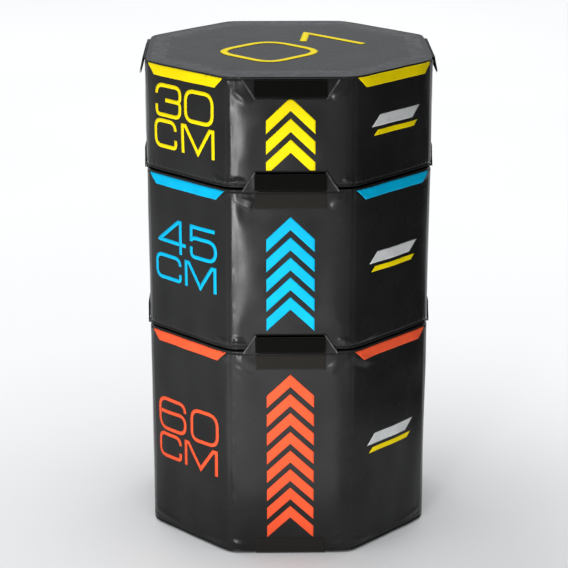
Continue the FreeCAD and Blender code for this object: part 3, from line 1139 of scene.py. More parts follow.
    def build(self) -> bpy.types.Object:
        """Makes the cover as one closed piece.

        Returns:
            The piece.
        """
        bm = bmesh.new()
        edge = bm.verts.layers.float.new("edge")
        columns = PLAN.columns(0.070, 0.0034, 0.0085, 7)
        verts = add_sheet(bm, columns, np.arange(len(self.rows)), self.place)
        spots = np.array([vert.co for vert in verts])
        rims = np.minimum(spots[:, 2] - self.base, self.base + self.height - spots[:, 2])
        along = np.tile(columns, len(self.rows))
        corners = np.exp(-PLAN.spot(along)[2] / self.worn_corner)
        wear = np.maximum(corners, np.exp(-np.abs(rims - self.worn_rim) / self.worn_rim))
        for vert, value in zip(verts, wear):
            vert[edge] = value
        bmesh.ops.remove_doubles(bm, verts=bm.verts[:], dist=1e-6)
        self.tree = BVHTree.FromBMesh(bm)
        piece = finish_piece(bm, f"{self.box}_cover", self.box, VINYL)
        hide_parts(*(f"{self.box}_cover_{part}" for part in ("base", "wall", "top")))
        return piece

    def on_side(self, side: int, x: np.ndarray, z: np.ndarray, lift: float) -> np.ndarray:
        """Finds points on a side of the finished cover.

        Args:
            side: The side's number.
            x: Places to the right of its middle.
            z: Heights above the box's base.
            lift: How far the points stand off the vinyl.

        Returns:
            The points.
        """
        point, normal = PLAN.locate(PLAN.middle(side) + x)
        spots = []
        for at, way, height in zip(point, normal, z + self.base):
            out = Vector((*way, 0))
            start = Vector((*at, height)) + 0.03 * out
            hit = self.tree.ray_cast(start, -out, 0.08)[0]
            spots.append((hit or Vector((*at, height))) + lift * out)
        return np.array(spots)

    def on_top(self, x: np.ndarray, y: np.ndarray, lift: float) -> np.ndarray:
        """Finds points on the top of the finished cover.

        Args:
            x: Places to the right.
            y: Places to the back.
            lift: How far the points stand over the vinyl.

        Returns:
            The points.
        """
        up, top = Vector((0, 0, 1)), self.base + self.height
        starts = [Vector((a, b, top + 0.03)) for a, b in zip(x, y)]
        hits = [self.tree.ray_cast(start, -up, 0.06)[0] or start - 0.03 * up for start in starts]
        return np.array([hit + lift * up for hit in hits])


@dataclass
class FoamBlock:
    """The bonded planks inside a cover."""

    box: str
    base: float
    height: float
    plank: float = 0.050
    inset: float = 0.0065
    corner_inset: float = 0.0085
    ease: float = 0.0025
    end_gap: float = 0.0035
    glue: float = 0.0001
    corner_zone: float = 0.085

    def build(self) -> bpy.types.Object:
        """Makes the planks, each with its edges eased.

        Returns:
            The piece.
        """
        bm = bmesh.new()
        columns = PLAN.columns(0.06, 0.02, 0.05, 3)
        count = round(self.height / self.plank)
        rise = (self.height - 2 * self.end_gap) / count
        for number in range(count):
            low = self.base + self.end_gap + number * rise
            rows = self.profile(low + self.glue, low + rise - self.glue)
            add_sheet(bm, columns, np.arange(len(rows)), partial(self.place, rows))
        bmesh.ops.remove_doubles(bm, verts=bm.verts[:], dist=1e-6)
        piece = finish_piece(bm, f"{self.box}_foam_planks", self.box, FOAM)
        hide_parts(f"{self.box}_foam_core")
        return piece

    def profile(self, low: float, high: float) -> np.ndarray:
        """Lays out rows from the middle of a plank's underside to the middle of its top.

        Args:
            low: Height of its underside.
            high: Height of its top.

        Returns:
            Each row's shrink, inset and z.
        """
        bend = np.linspace(0, math.pi / 2, 4)
        inset = self.inset + self.ease * (1 - np.sin(bend))
        z = low + self.ease * (1 - np.cos(bend))
        under = np.stack([np.zeros(4), inset, z], 1)
        over = under[::-1] * (1, 1, -1) + (0, 0, low + high)
        foot = [(shrink, inset[0], low) for shrink in (1, 0.5)]
        head = [(shrink, inset[0], high) for shrink in (0.5, 1)]
        return np.array([*foot, *under, *over, *head])

    def place(self, rows: np.ndarray, along: np.ndarray, row: np.ndarray) -> np.ndarray:
        """Puts a plank's grid in its place, its corners cut back further.

        Args:
            rows: The plank's rows.
            along: Distances round the plan.
            row: Numbers of the rows.

        Returns:
            The points.
        """
        shrink, inset, z = rows[row.astype(int)].T
        point, normal = PLAN.locate(along)
        corner = np.clip(1 - PLAN.spot(along)[2] / self.corner_zone, 0, 1) ** 2
        inset = inset + self.corner_inset * corner
        return np.column_stack([(point - normal * inset[:, None]) * (1 - shrink)[:, None], z])


@dataclass
class Stitching:
    """Rows of sewn stitches gathered into one piece."""

    pitch: float = 0.0058
    length: float = 0.0042
    radius: float = 0.00038

    def __post_init__(self) -> None:
        """Starts the mesh."""
        self.bm = bmesh.new()

    def sew(self, corners: Sequence[Vector], out: Vector) -> None:
        """Sews a line of stitches.

        Args:
            corners: Points that the line runs through.
            out: The direction that the stitches face.
        """
        for start, end in zip(corners, corners[1:]):
            run = end - start
            way = run.normalized()
            across = way.cross(out).normalized()
            count = max(1, round(run.length / self.pitch))
            for number in range(count):
                spot = start + run * ((number + 0.5) / count)
                axes = Matrix((across, across.cross(way) * -1, way)).transposed().to_4x4()
                bmesh.ops.create_cone(
                    self.bm,
                    cap_ends=True,
                    cap_tris=False,
                    segments=6,
                    radius1=self.radius,
                    radius2=self.radius,
                    depth=self.length,
                    matrix=Matrix.Translation(spot) @ axes,
                )

    def piece(self, name: str, body: str) -> bpy.types.Object:
        """Makes the stitches a piece."""
        bmesh.ops.recalc_face_normals(self.bm, faces=self.bm.faces[:])
        return finish_piece(self.bm, name, body, THREAD)


@dataclass
class TapeStrip:
    """A strip of hook-and-loop tape: a woven edge round a field of pile."""

    length: float = 0.190
    width: float = 0.045
    edge: float = 0.0022
    edge_depth: float = 0.0008
    depth: float = 0.0015
    slope: float = 0.0006
    margin: float = 0.006
    fuzz: float = 0.00014

    def stops(self, half: float, count: int) -> np.ndarray:
        """Stops across the strip, close together at its woven edge.

        Args:
            half: Half the strip's size that way.
            count: How many stops cross the pile.

        Returns:
            The stops in order.
        """
        rim = np.array([half, half - self.edge, half - self.edge - self.slope])
        pile = np.linspace(-half + self.margin, half - self.margin, count)
        return np.concatenate([-rim, pile, rim[::-1]])

    def add(self, bm: bmesh.types.BMesh, pose: Matrix, seed: int) -> None:
        """Adds a strip.

        Args:
            bm: The mesh that takes it.
            pose: Takes x along, y outwards and z across to their place.
            seed: Draws its fuzz.
        """
        rng = np.random.default_rng(seed)
        half, side = self.length / 2, self.width / 2

        def place(x: np.ndarray, z: np.ndarray) -> np.ndarray:
            """Raises the pile inside the woven edge.

            Args:
                x: Places along the strip.
                z: Places across it.

            Returns:
                The points.
            """
            inside = np.minimum(half - np.abs(x), side - np.abs(z))
            pile = 1 - fade(inside, self.edge + 0.0001, self.edge + 0.0005)
            fuzz = rng.uniform(-self.fuzz, self.fuzz, len(x)) * pile
            out = self.edge_depth + (self.depth - self.edge_depth) * pile + fuzz
            return np.column_stack([x, out, z])

        verts = add_sheet(bm, self.stops(half, 58), self.stops(side, 12), place)
        for face in {face for vert in verts for face in vert.link_faces}:
            face.normal_flip()
        bmesh.ops.transform(bm, matrix=pose, verts=close_back(bm, verts, 0.0))

    def seam(self, pose: Matrix, stitching: Stitching) -> None:
        """Sews the strip down along its woven edge.

        Args:
            pose: Takes x along, y outwards and z across to their place.
            stitching: Takes the stitches.
        """
        half, side = self.length / 2 - self.edge / 2, self.width / 2 - self.edge / 2
        ring = [(-half, -side), (half, -side), (half, side), (-half, side), (-half, -side)]
        corners = [pose @ Vector((x, self.edge_depth, z)) for x, z in ring]
        stitching.sew(corners, (pose.to_3x3() @ Vector((0, 1, 0))).normalized())


def side_pose(side: int, out: float, z: float) -> Matrix:
    """Takes x to the right, y outwards and z up on a side of the plan to their place."""
    middle = Matrix.Translation((0, -float(PLAN.reaches[side]) - out, z))
    return Matrix.Rotation(math.radians(45 * side), 4, "Z") @ middle @ Matrix.Diagonal((1, -1, 1, 1))


@dataclass
class WallTapes:
    """The strips sewn to the four flap sides of a box, at its top and bottom edges."""

    box: str
    base: float
    height: float
    strip: TapeStrip = field(default_factory=TapeStrip)
    stow_top: float = 0.010
    join_low: float = 0.003

    def build(self) -> list[bpy.types.Object]:
        """Makes both sets of strips and their stitching.

        Returns:
            The pieces.
        """
        pieces, stitching, half = [], Stitching(), self.strip.width / 2
        heights = {"stow": self.height - self.stow_top - half, "join": self.join_low + half}
        for name, z in heights.items():
            bm = bmesh.new()
            for side in FlapSide:
                pose = side_pose(side.value, 0.0, self.base + z)
                self.strip.add(bm, pose, side.value + len(name))
                self.strip.seam(pose, stitching)
            bmesh.ops.recalc_face_normals(bm, faces=bm.faces[:])
            piece = finish_piece(bm, f"{self.box}_{name}_strips", self.box, LOOP)
            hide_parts(f"{self.box}_{name}_tapes")
            pieces.append(piece)
        return [*pieces, stitching.piece(f"{self.box}_strip_stitches", self.box)]


@dataclass
class Flap:
    """A flap of two plies of vinyl with a rolled root and a strip on each face."""

    box: str
    side: FlapSide
    base: float
    height: float
    lean: float
    strip: TapeStrip = field(default_factory=TapeStrip)
    root: float = 0.256775
    length: float = 0.051
    depth: float = 0.0019
    bead: float = 0.0014
    hinge_out: float = 0.0045
    hinge_drop: float = 0.007
    strip_low: float = 0.003
    curl: float = 0.0010
    hug: float = 0.0013
    free_from: float = 0.012
    wing_zone: float = 0.036
    hug_zone: float = 0.005
    ripple: float = 0.00025
    hem_rise: float = 0.0006
    hem_zone: Pair = (0.0038, 0.0052)
    # Where the slanting ends are painted paler, as a highlight of their turned edges.
    hem_sheen_line: Pair = (0.0032, 0.0046)

    @property
    def body(self) -> str:
        """The body that the flap moves as."""
        return f"{self.box}_flap_{self.side.name.lower()}"

    @cached_property
    def pose(self) -> Matrix:
        """Takes the upright flap, x along its root and y outwards, to its place."""
        hinge = side_pose(self.side.value, self.hinge_out, self.base + self.height - self.hinge_drop)
        return hinge @ Matrix.Rotation(math.radians(-self.lean), 4, "X")

    def half_width(self, up: np.ndarray) -> np.ndarray:
        """Half the flap's width at a height above its root."""
        return (self.root + (self.strip.length - self.root) * up / self.length) / 2

    def sheet(self, u: np.ndarray, up: np.ndarray) -> np.ndarray:
        """Puts the outer ply's grid in its place: the wings outside the strip curl a little.

        Args:
            u: Places along the flap, from -1 to 1.
            up: Heights above its root.

        Returns:
            The points.
        """
        half = self.half_width(up)
        x = u * half
        past = np.abs(x) - self.strip.length / 2
        wing = np.clip(past / self.wing_zone, 0, 1)
        ripple = self.ripple * np.sin(95 * x + 3 * self.side.value) * wing
        turned = self.hem_rise * fade(half - np.abs(x), *self.hem_zone) * (wing > 0)
        curled = self.curl * wing**2 * (1 - up / self.length)
        hugged = self.hug * np.clip(past / self.hug_zone, 0, 1)
        free = np.clip(up / self.free_from, 0, 1)
        return np.column_stack([x, self.depth / 2 + (curled + turned - hugged) * free + ripple, up])

    def plies(self) -> bpy.types.Object:
        """Makes the two plies and the rolled root.

        Returns:
            The piece.
        """
        bm = bmesh.new()
        edge = bm.verts.layers.float.new("edge")
        us = graded(-1, 1, 0.06, 0.01, 0.045)
        add_sheet(bm, us, np.linspace(0.0004, self.length, 13), self.sheet)
        for face in bm.faces:
            face.normal_flip()
        thicken(bm, self.depth)
        rims = [e for e in bm.edges if len(e.link_faces) == 2 and e.calc_face_angle(0.0) > 0.9]
        ease_edges(bm, rims, 0.0005, 2)
        spots = np.array([vert.co for vert in bm.verts])
        # Marks the hem lines that the flap finish paints paler as a highlight.
        hems = fade(self.half_width(spots[:, 2]) - np.abs(spots[:, 0]), *self.hem_sheen_line)
        for vert, value in zip(bm.verts, hems):
            vert[edge] = value
        bead = bmesh.ops.create_cone(
            bm,
            cap_ends=True,
            cap_tris=False,
            segments=12,
            radius1=self.bead,
            radius2=self.bead,
            depth=self.root,
            matrix=Matrix.Rotation(math.radians(90), 4, "Y"),
        )
        rolled = set(bead["verts"])
        ends = [e for e in bm.edges if e.verts[0] in rolled and e.calc_face_angle(0.0) > 1.0]
        ease_edges(bm, ends, 0.0004, 2)
        bmesh.ops.transform(bm, matrix=self.pose, verts=bm.verts[:])
        bmesh.ops.recalc_face_normals(bm, faces=bm.faces[:])
        flap = finish_piece(bm, f"{self.body}_vinyl", self.body, FLAP_VINYL)
        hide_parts(self.body)
        return flap

    def build(self) -> list[bpy.types.Object]:
        """Makes the flap, its strips and its stitching.

        Returns:
            The pieces.
        """
        name, flap = self.body, self.plies()
        bm, stitching = bmesh.new(), Stitching()
        middle = self.strip_low + self.strip.width / 2
        outer = self.pose @ Matrix.Translation((0, self.depth / 2, middle))
        inner = self.pose @ Matrix.Translation((0, -self.depth / 2, middle))
        for number, pose in enumerate((outer, inner @ Matrix.Rotation(math.pi, 4, "Z"))):
            self.strip.add(bm, pose, 40 + number)
            self.strip.seam(pose, stitching)
        bmesh.ops.recalc_face_normals(bm, faces=bm.faces[:])
        strips = finish_piece(bm, f"{name}_strips", name, HOOK)
        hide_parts(f"{name}_tapes")
        self.hem(stitching)
        thread = stitching.piece(f"{name}_stitches", name)
        return [flap, strips, thread]

    def hem(self, stitching: Stitching) -> None:
        """Sews the plies together along the slanting ends.

        Args:
            stitching: Takes the stitches.
        """
        low, high, margin = 0.004, self.length - 0.0018, 0.003
        halves = [float(self.half_width(np.array(up))) - margin for up in (low, high)]
        for sign in (-1, 1):
            line = [(sign * halves[0], low), (sign * (halves[1] + 0.001), high)]
            corners = [self.pose @ Vector((x, self.depth / 2 + 0.0002, up)) for x, up in line]
            stitching.sew(corners, (self.pose.to_3x3() @ Vector((0, 1, 0))).normalized())


@dataclass
class FlapHems:
    """The seam allowances that stand out of the top seam and carry the flaps' roots."""

    box: str
    base: float
    height: float
    root: float = 0.256775
    reach: float = 0.0027
    depth: float = 0.0023
    drop: float = 0.007
    back: float = -0.0016

    def build(self) -> bpy.types.Object:
        """Makes the four hems as rounded folds of vinyl.

        Returns:
            The piece.
        """
        bm = bmesh.new()
        half = self.root / 2
        xs = np.linspace(-half, half, 65)
        turns = np.linspace(-math.pi / 2, math.pi / 2, 7)

        def place(x: np.ndarray, turn: np.ndarray) -> np.ndarray:
            """Rounds the fold and lets it waver.

            Args:
                x: Places along the fold.
                turn: Angles round it.

            Returns:
                The points.
            """
            waver = 0.00018 * np.sin(140 * x) + 0.00012 * np.sin(331 * x + 1)
            out = (self.reach - self.depth / 2) + self.depth / 2 * np.cos(turn) + waver
            return np.column_stack([x, out, self.depth / 2 * np.sin(turn)])

        for side in FlapSide:
            pose = side_pose(side.value, 0.0, self.base + self.height - self.drop)
            verts = add_sheet(bm, xs, turns, place)
            bmesh.ops.transform(bm, matrix=pose, verts=close_back(bm, verts, self.back))
        bmesh.ops.recalc_face_normals(bm, faces=bm.faces[:])
        piece = finish_piece(bm, f"{self.box}_hem_folds", self.box, FLAP_VINYL)
        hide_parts(f"{self.box}_flap_hems")
        return piece


@dataclass
class ZipFastener:
    """The zip round the back of a box: woven tape, moulded teeth, end stops, slider and pull."""

    box: str
    cover: Cover
    chain_inset: float = 0.008
    pitch: float = 0.0026
    stagger: float = 0.00075
    tooth: Spot = (0.0019, 0.0013, 0.0042)
    stop: Spot = (0.0038, 0.0014, 0.0058)
    stop_gap: float = 0.002
    chain_out: float = 0.0002
    tooth_ease: float = 0.00035
    tape_out: float = -0.0006
    tape_depth: float = 0.0006
    tape_lap: float = 0.0008
    tape_step: float = 0.004
    wall_drop: float = 0.004

    def build(self) -> list[bpy.types.Object]:
        """Makes the tape and teeth, and dresses the solid slider and pull.

        Returns:
            The made pieces.
        """
        for part in ("slider", "pull"):
            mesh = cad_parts[f"{self.box}_zip_{part}"].data
            mesh.materials.clear()
            mesh.materials.append(ZIP_METAL.material())
        return [self.tape(), self.teeth()]

    def wall(self, along: np.ndarray, z: np.ndarray, out: float) -> np.ndarray:
        """Finds points off the wall's smooth face, outside the slot.

        Args:
            along: Distances round the plan.
            z: Heights above the box's base.
            out: How far the points stand off the face.

        Returns:
            The points.
        """
        edge = np.full(len(along), self.cover.zip_low - self.wall_drop)
        point, normal = PLAN.locate(along)
        flat = point + normal * (self.cover.slack(along, edge) + out)[:, None]
        return np.column_stack([flat, self.cover.base + z])

    def tape(self) -> bpy.types.Object:
        """Makes the woven tape in the slot.

        Returns:
            The piece.
        """
        bm = bmesh.new()
        us = np.arange(*self.cover.zip_run, self.tape_step)
        vs = np.linspace(self.cover.zip_low - self.tape_lap, self.cover.zip_high + self.tape_lap, 7)
        add_sheet(bm, us, vs, partial(self.wall, out=self.tape_out))
        thicken(bm, self.tape_depth)
        piece = finish_piece(bm, f"{self.box}_zip_weave", self.box, ZIP_CLOTH)
        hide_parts(f"{self.box}_zip_tape")
        return piece

    def teeth(self) -> bpy.types.Object:
        """Makes the two rows of meshed teeth and a stop at each end.

        Returns:
            The piece.
        """
        bm = bmesh.new()
        start, end = self.cover.zip_run
        start, end = start + self.chain_inset, end - self.chain_inset
        count = int((end - start) / self.pitch)
        along = start + (np.arange(count) + 0.5) * (end - start) / count
        along = np.concatenate([along, [start - self.stop_gap, end + self.stop_gap]])
        z = np.full(count + 2, (self.cover.zip_low + self.cover.zip_high) / 2)
        z[:count] += np.where(np.arange(count) % 2 == 0, self.stagger, -self.stagger)
        sizes = [self.tooth] * count + [self.stop] * 2
        _, ways = PLAN.locate(along)
        for place, way, size in zip(self.wall(along, z, self.chain_out), ways, sizes):
            axes = Matrix((Vector((-way[1], way[0], 0)), Vector((*way, 0)), Vector((0, 0, 1))))
            turned = Matrix.Translation(Vector(place)) @ axes.transposed().to_4x4()
            bmesh.ops.create_cube(bm, size=1.0, matrix=turned @ Matrix.Diagonal((*size, 1)))
        ease_edges(bm, [e for e in bm.edges if e.is_manifold], self.tooth_ease, 1)
        bmesh.ops.recalc_face_normals(bm, faces=bm.faces[:])
        piece = finish_piece(bm, f"{self.box}_zip_teeth", self.box, ZIP_TEETH)
        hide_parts(f"{self.box}_zip_chain")
        return piece


Stroke = Sequence[tuple[float, float, float]]
Sign = tuple[str, float, float]
Box = tuple[float, float, float, float]

SIGNS: dict[str, tuple[Stroke, ...]] = {
    "0": (((0.5, 0, 0), (1, 0, 0.3), (1, 1, 0.3), (0, 1, 0.3), (0, 0, 0.3), (0.5, 0, 0)),),
    "1": (((0, 0.64, 0), (1, 1, 0), (1, -0.04, 0)),),
    "2": (
        (
            (0, 0.70, 0), (0, 1, 0.28), (1, 1, 0.28), (1, 0.52, 0.24),
            (0, 0.46, 0.24), (0, 0, 0), (1.05, 0, 0),
        ),
    ),
    "3": (
        ((0, 0.69, 0), (0, 1, 0.28), (1, 1, 0.28), (1, 0.51, 0.15), (0.38, 0.51, 0)),
        ((0.7, 0.51, 0), (1, 0.51, 0.12), (1, 0, 0.28), (0, 0, 0.28), (0, 0.33, 0)),
    ),
    "4": (
        ((0.817, 0.27, 0), (0.02, 0.27, 0), (0.79, 1, 0), (0.868, 1, 0), (0.868, -0.07, 0)),
        ((0.919, 0.27, 0), (1.08, 0.27, 0)),
    ),
    "5": (
        ((0.97, 1, 0), (0, 1, 0), (0, 0.50, 0)),
        ((0.0, 0.58, 0), (0.14, 0.64, 0.08), (1, 0.64, 0.3), (1, 0, 0.28), (0, 0, 0.28), (0, 0.33, 0)),
    ),
    "6": (
        (
            (1, 0.73, 0), (1, 1, 0.26), (0, 1, 0.3), (0, 0, 0.3),
            (1, 0, 0.26), (1, 0.6, 0.24), (0.057, 0.555, 0),
        ),
    ),
    "C": (((1, 0.68, 0), (1, 1, 0.28), (0, 1, 0.28), (0, 0, 0.28), (1, 0, 0.28), (1, 0.32, 0)),),
    "M": (
        (
            (0, -0.07, 0), (0, 1, 0), (0.1, 1, 0), (0.5, 0.02, 0),
            (0.9, 1, 0), (1, 1, 0), (1, -0.07, 0),
        ),
    ),
}


@dataclass(frozen=True)
class Lettering:
    """Numbers drawn with one even stroke on rounded squares."""

    stroke: float
    step: float = 0.004
    overlap: float = 0.00006
    pull: float = 0.92

    def line(self, stroke: Stroke, width: float, height: float) -> np.ndarray:
        """Rounds a stroke's corners.

        Args:
            stroke: Its corners in a unit square, each with its rounding in heights.
            width: Width of the sign over its strokes.
            height: Height of the sign over its strokes.

        Returns:
            Points along the stroke's middle.
        """
        size = np.array([width - self.stroke, height - self.stroke])
        spots = [np.array(corner[:2]) * size + self.stroke / 2 for corner in stroke]
        points = [spots[0]]
        for number in range(1, len(spots) - 1):
            before, at, after = spots[number - 1 : number + 2]
            back, ahead = before - at, after - at
            free = 0.98 if number == 1 else 0.49
            reach = min(stroke[number][2] * height, free * np.hypot(*back), 0.49 * np.hypot(*ahead))
            if reach < 1e-5:
                points.append(at)
                continue
            first = at + back / np.hypot(*back) * reach
            last = at + ahead / np.hypot(*ahead) * reach
            middle = at * self.pull + (first + last) * (1 - self.pull) / 2
            for part in np.linspace(0, 1, 8):
                ends = (1 - part) ** 2 * first + part**2 * last
                points.append(ends + 2 * part * (1 - part) * middle)
        points.append(spots[-1])
        return self.even(np.array(points))

    def even(self, points: np.ndarray) -> np.ndarray:
        """Adds points on the long straight runs.

        Args:
            points: Points along a line.

        Returns:
            The same line's points, at most a step apart.
        """
        out = [points[0]]
        for start, end in zip(points, points[1:]):
            count = max(1, math.ceil(np.hypot(*(end - start)) / self.step))
            out += [start + (end - start) * part / count for part in range(1, count + 1)]
        return np.array(out)

    def sides(self, points: np.ndarray) -> np.ndarray:
        """Finds the mitred half-widths across a line.

        Args:
            points: Points along the line.

        Returns:
            The ways from the points to the stroke's left side.
        """
        runs = np.diff(points, axis=0)
        runs /= np.maximum(np.hypot(runs[:, 0], runs[:, 1]), 1e-9)[:, None]
        closed = np.allclose(points[0], points[-1])
        before = np.vstack([runs[-1] if closed else runs[0], runs])
        after = np.vstack([runs, runs[0] if closed else runs[-1]])
        across = np.stack([-before[:, 1] - after[:, 1], before[:, 0] + after[:, 0]], 1)
        across /= np.maximum(np.hypot(across[:, 0], across[:, 1]), 1e-9)[:, None]
        cosine = np.clip(-across[:, 0] * after[:, 1] + across[:, 1] * after[:, 0], 0.58, 1)
        return across * (self.stroke / 2 / cosine)[:, None]

    def add(self, bm: bmesh.types.BMesh, sign: str, box: Box, onto: Onto) -> None:
        """Draws a sign.

        Args:
            bm: The mesh that takes it.
            sign: The sign's character.
            box: Its left, foot, width and height.
            onto: Puts flat places on the cover, a given height over the film's usual one.
        """
        left, foot, width, height = box
        for order, stroke in enumerate(SIGNS[sign]):
            points = self.line(stroke, width, height) + (left, foot)
            across = self.sides(points)

            def place(number: np.ndarray, share: np.ndarray) -> np.ndarray:
                """Spreads the stroke to its width, each a little over the one before.

                Args:
                    number: Numbers of the points along the stroke.
                    share: Places across it, from -1 to 1.

                Returns:
                    The points.
                """
                number = number.astype(int)
                flat = points[number] + across[number] * share[:, None]
                return onto(flat[:, 0], flat[:, 1], order * self.overlap)

            add_sheet(bm, np.arange(len(points)), (1, 0, -1), place)


@dataclass(frozen=True)
class HeightMark:
    """The printed height of a box: digits over a unit, each sign with its left end and width.

    Feet are measured from the middle of the side's height.
    """

    digits: tuple[Sign, ...]
    digit_foot: float
    digit_height: float
    unit: tuple[Sign, ...]
    unit_foot: float
    unit_height: float

    def signs(self) -> list[tuple[str, Box]]:
        """Lists the signs.

        Returns:
            Each sign with its left end, foot, width and height.
        """
        lines = (
            (self.digits, self.digit_foot, self.digit_height),
            (self.unit, self.unit_foot, self.unit_height),
        )
        return [
            (sign, (left, foot, wide, tall))
            for line, foot, tall in lines
            for sign, left, wide in line
        ]


SMALL_MARK = HeightMark(
    (("3", -0.110, 0.103), ("0", 0.004, 0.109)), 0.0055, 0.0905,
    (("C", -0.1165, 0.090), ("M", -0.009, 0.124)), -0.0803, 0.080,
)
MIDDLE_MARK = HeightMark(
    (("4", -0.113, 0.112), ("5", 0.0174, 0.1006)), 0.0085, 0.0942,
    (("C", -0.1225, 0.105), ("M", -0.004, 0.119)), -0.0755, 0.074,
)
TALL_MARK = HeightMark(
    (("6", -0.126, 0.117), ("0", 0.009, 0.107)), 0.001, 0.0995,
    (("C", -0.1255, 0.095), ("M", -0.018, 0.130)), -0.0825, 0.0765,
)


@dataclass
class Prints:
    """The films pressed on a cover: chevrons, edge stripes, numbers and plain bars."""

    box: str
    cover: Cover
    ink: Ink
    mark: HeightMark
    top_sign: str
    lift: float = 0.00035
    depth: float = 0.0003
    chevron_width: float = 0.128
    chevron_rise: float = 0.061
    chevron_band: float = 0.035
    chevron_pitch: float = 0.0553
    chevron_drop: float = 0.010
    chevron_floor: float = 0.0495
    chevron_ceiling: float = 0.062
    chevron_clear: float = 0.087
    stripe_height: float = 0.028
    stripe_top: float = 0.0085
    stripe_half: float = 0.1440
    number_stroke: float = 0.0104
    top_digit: float = 0.230
    top_stroke: float = 0.0195
    top_step: float = 0.006
    top_run: Pair = (-0.206, 0.176)
    top_foot: float = -0.131
    one_width: float = 0.112
    bar_half: float = 0.080

    @property
    def slot(self) -> str:
        """The record's slot for this colour."""
        return f"print_{self.ink.name.lower()}"

    def onto(self, side: int, x: np.ndarray, z: np.ndarray, over: float = 0.0) -> np.ndarray:
        """Puts flat places on a side of the cover."""
        return self.cover.on_side(side, x, z, self.lift + over)

    def film(
        self, bm: bmesh.types.BMesh, name: str, finish: Finish, slot: str | None
    ) -> bpy.types.Object:
        """Makes a film piece with its own thin depth.

        Args:
            bm: The film's face, which is freed.
            name: The piece's name, without the box's.
            finish: Its finish.
            slot: The record's material slot, if it has one; not used.

        Returns:
            The piece.
        """
        bmesh.ops.remove_doubles(bm, verts=bm.verts[:], dist=1e-6)
        piece = finish_piece(bm, f"{self.box}_{name}", self.box, finish)
        solid = piece.modifiers.new("film", "SOLIDIFY")
        solid.thickness, solid.offset = self.depth, -1.0
        return piece

    def build(self) -> list[bpy.types.Object]:
        """Makes every film on the box.

        Returns:
            The pieces.
        """
        bm = bmesh.new()
        self.chevrons(bm)
        for side in (1, 3, 5, 7):
            self.stripe(bm, side)
        bands = self.film(bm, "bands", ink_film(self.ink), self.slot)
        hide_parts(f"{self.box}_print")
        return [bands, self.numbers(), *self.bars()]

    def chevrons(self, bm: bmesh.types.BMesh) -> None:
        """Adds the climbing row on the front, its ends trimmed clear of the tapes.

        Args:
            bm: The mesh that takes it.
        """
        height, half = self.cover.height, self.chevron_width / 2
        tall = self.chevron_rise + self.chevron_band
        room = height - self.chevron_clear - tall
        count = 1 + math.floor(room / self.chevron_pitch)
        foot = height / 2 - self.chevron_drop - ((count - 1) * self.chevron_pitch + tall) / 2
        floor, ceiling = self.chevron_floor, height - self.chevron_ceiling
        xs = np.concatenate([np.linspace(-half, 0, 15), np.linspace(0, half, 15)[1:]])
        for number in range(count):
            low = foot + number * self.chevron_pitch

            def place(x: np.ndarray, share: np.ndarray) -> np.ndarray:
                """Raises the band to its point.

                Args:
                    x: Places across the band.
                    share: Shares of its height.

                Returns:
                    The points.
                """
                under = low + self.chevron_rise * (1 - np.abs(x) / half)
                over = np.minimum(under + self.chevron_band, ceiling)
                under = np.maximum(under, floor)
                return self.onto(0, x, under + (over - under) * share)

            add_sheet(bm, xs, np.linspace(0, 1, 9), place)

    def stripe(self, bm: bmesh.types.BMesh, side: int) -> None:
        """Adds the stripe under a diagonal side's top edge, its ends cut back.

        Args:
            bm: The mesh that takes it.
            side: The side's number.
        """
        top = self.cover.height - self.stripe_top

        def place(share: np.ndarray, up: np.ndarray) -> np.ndarray:
            """Narrows the stripe downwards."""
            down = self.stripe_height * (1 - up)
            return self.onto(side, share * (self.stripe_half - down), top - down)

        add_sheet(bm, np.linspace(-1, 1, 90), np.linspace(0, 1, 10), place)

    def numbers(self) -> bpy.types.Object:
        """Makes the height on two diagonal sides and the box's number on its top.

        Returns:
            The piece.
        """
        bm, pen = bmesh.new(), Lettering(self.number_stroke)
        middle = self.cover.height / 2
        for side in (7, 3):
            for sign, (left, foot, wide, tall) in self.mark.signs():
                pen.add(bm, sign, (left, middle + foot, wide, tall), partial(self.onto, side))
        pen = Lettering(self.top_stroke, self.top_step)
        (first, second), (left, right), size = self.top_sign, self.top_run, self.top_digit
        pen.add(bm, first, (left, self.top_foot, size, size), self.onto_top)
        width = self.one_width if second == "1" else 0.8 * size
        pen.add(bm, second, (right - width, self.top_foot, width, size), self.onto_top)
        return self.film(bm, "numbers", ink_film(self.ink), self.slot)

    def onto_top(self, right: np.ndarray, up: np.ndarray, over: float = 0.0) -> np.ndarray:
        """Puts flat places on the top, which reads towards the back right."""
        turn = math.sqrt(0.5)
        return self.cover.on_top((right - up) * turn, (right + up) * turn, 1.6 * self.lift + over)

    def bars(self) -> list[bpy.types.Object]:
        """Makes a plain grey bar over a plain coloured one on two diagonal sides.

        Returns:
            The pieces.
        """
        pieces = []
        looks = {
            "grey_bars": (GREY_FILM, 0.004, 0.030),
            "colour_bars": (ink_film(Ink.YELLOW), -0.020, 0.014),
        }
        for name, (finish, foot, tall) in looks.items():
            bm = bmesh.new()
            for side in (1, 5):
                self.bar(bm, side, self.cover.height / 2 + foot, tall)
            pieces.append(self.film(bm, name, finish, None))
        return pieces

    def bar(self, bm: bmesh.types.BMesh, side: int, foot: float, tall: float) -> None:
        """Adds a bar that slants to the right.

        Args:
            bm: The mesh that takes it.
            side: The side's number.
            foot: Height of the bar's lower edge.
            tall: Its height.
        """

        def place(x: np.ndarray, up: np.ndarray) -> np.ndarray:
            """Slants the bar by as much as it rises."""
            return self.onto(side, x + (up - 0.5) * tall, foot + up * tall)

        add_sheet(bm, np.linspace(-self.bar_half, self.bar_half, 34), np.linspace(0, 1, 7), place)


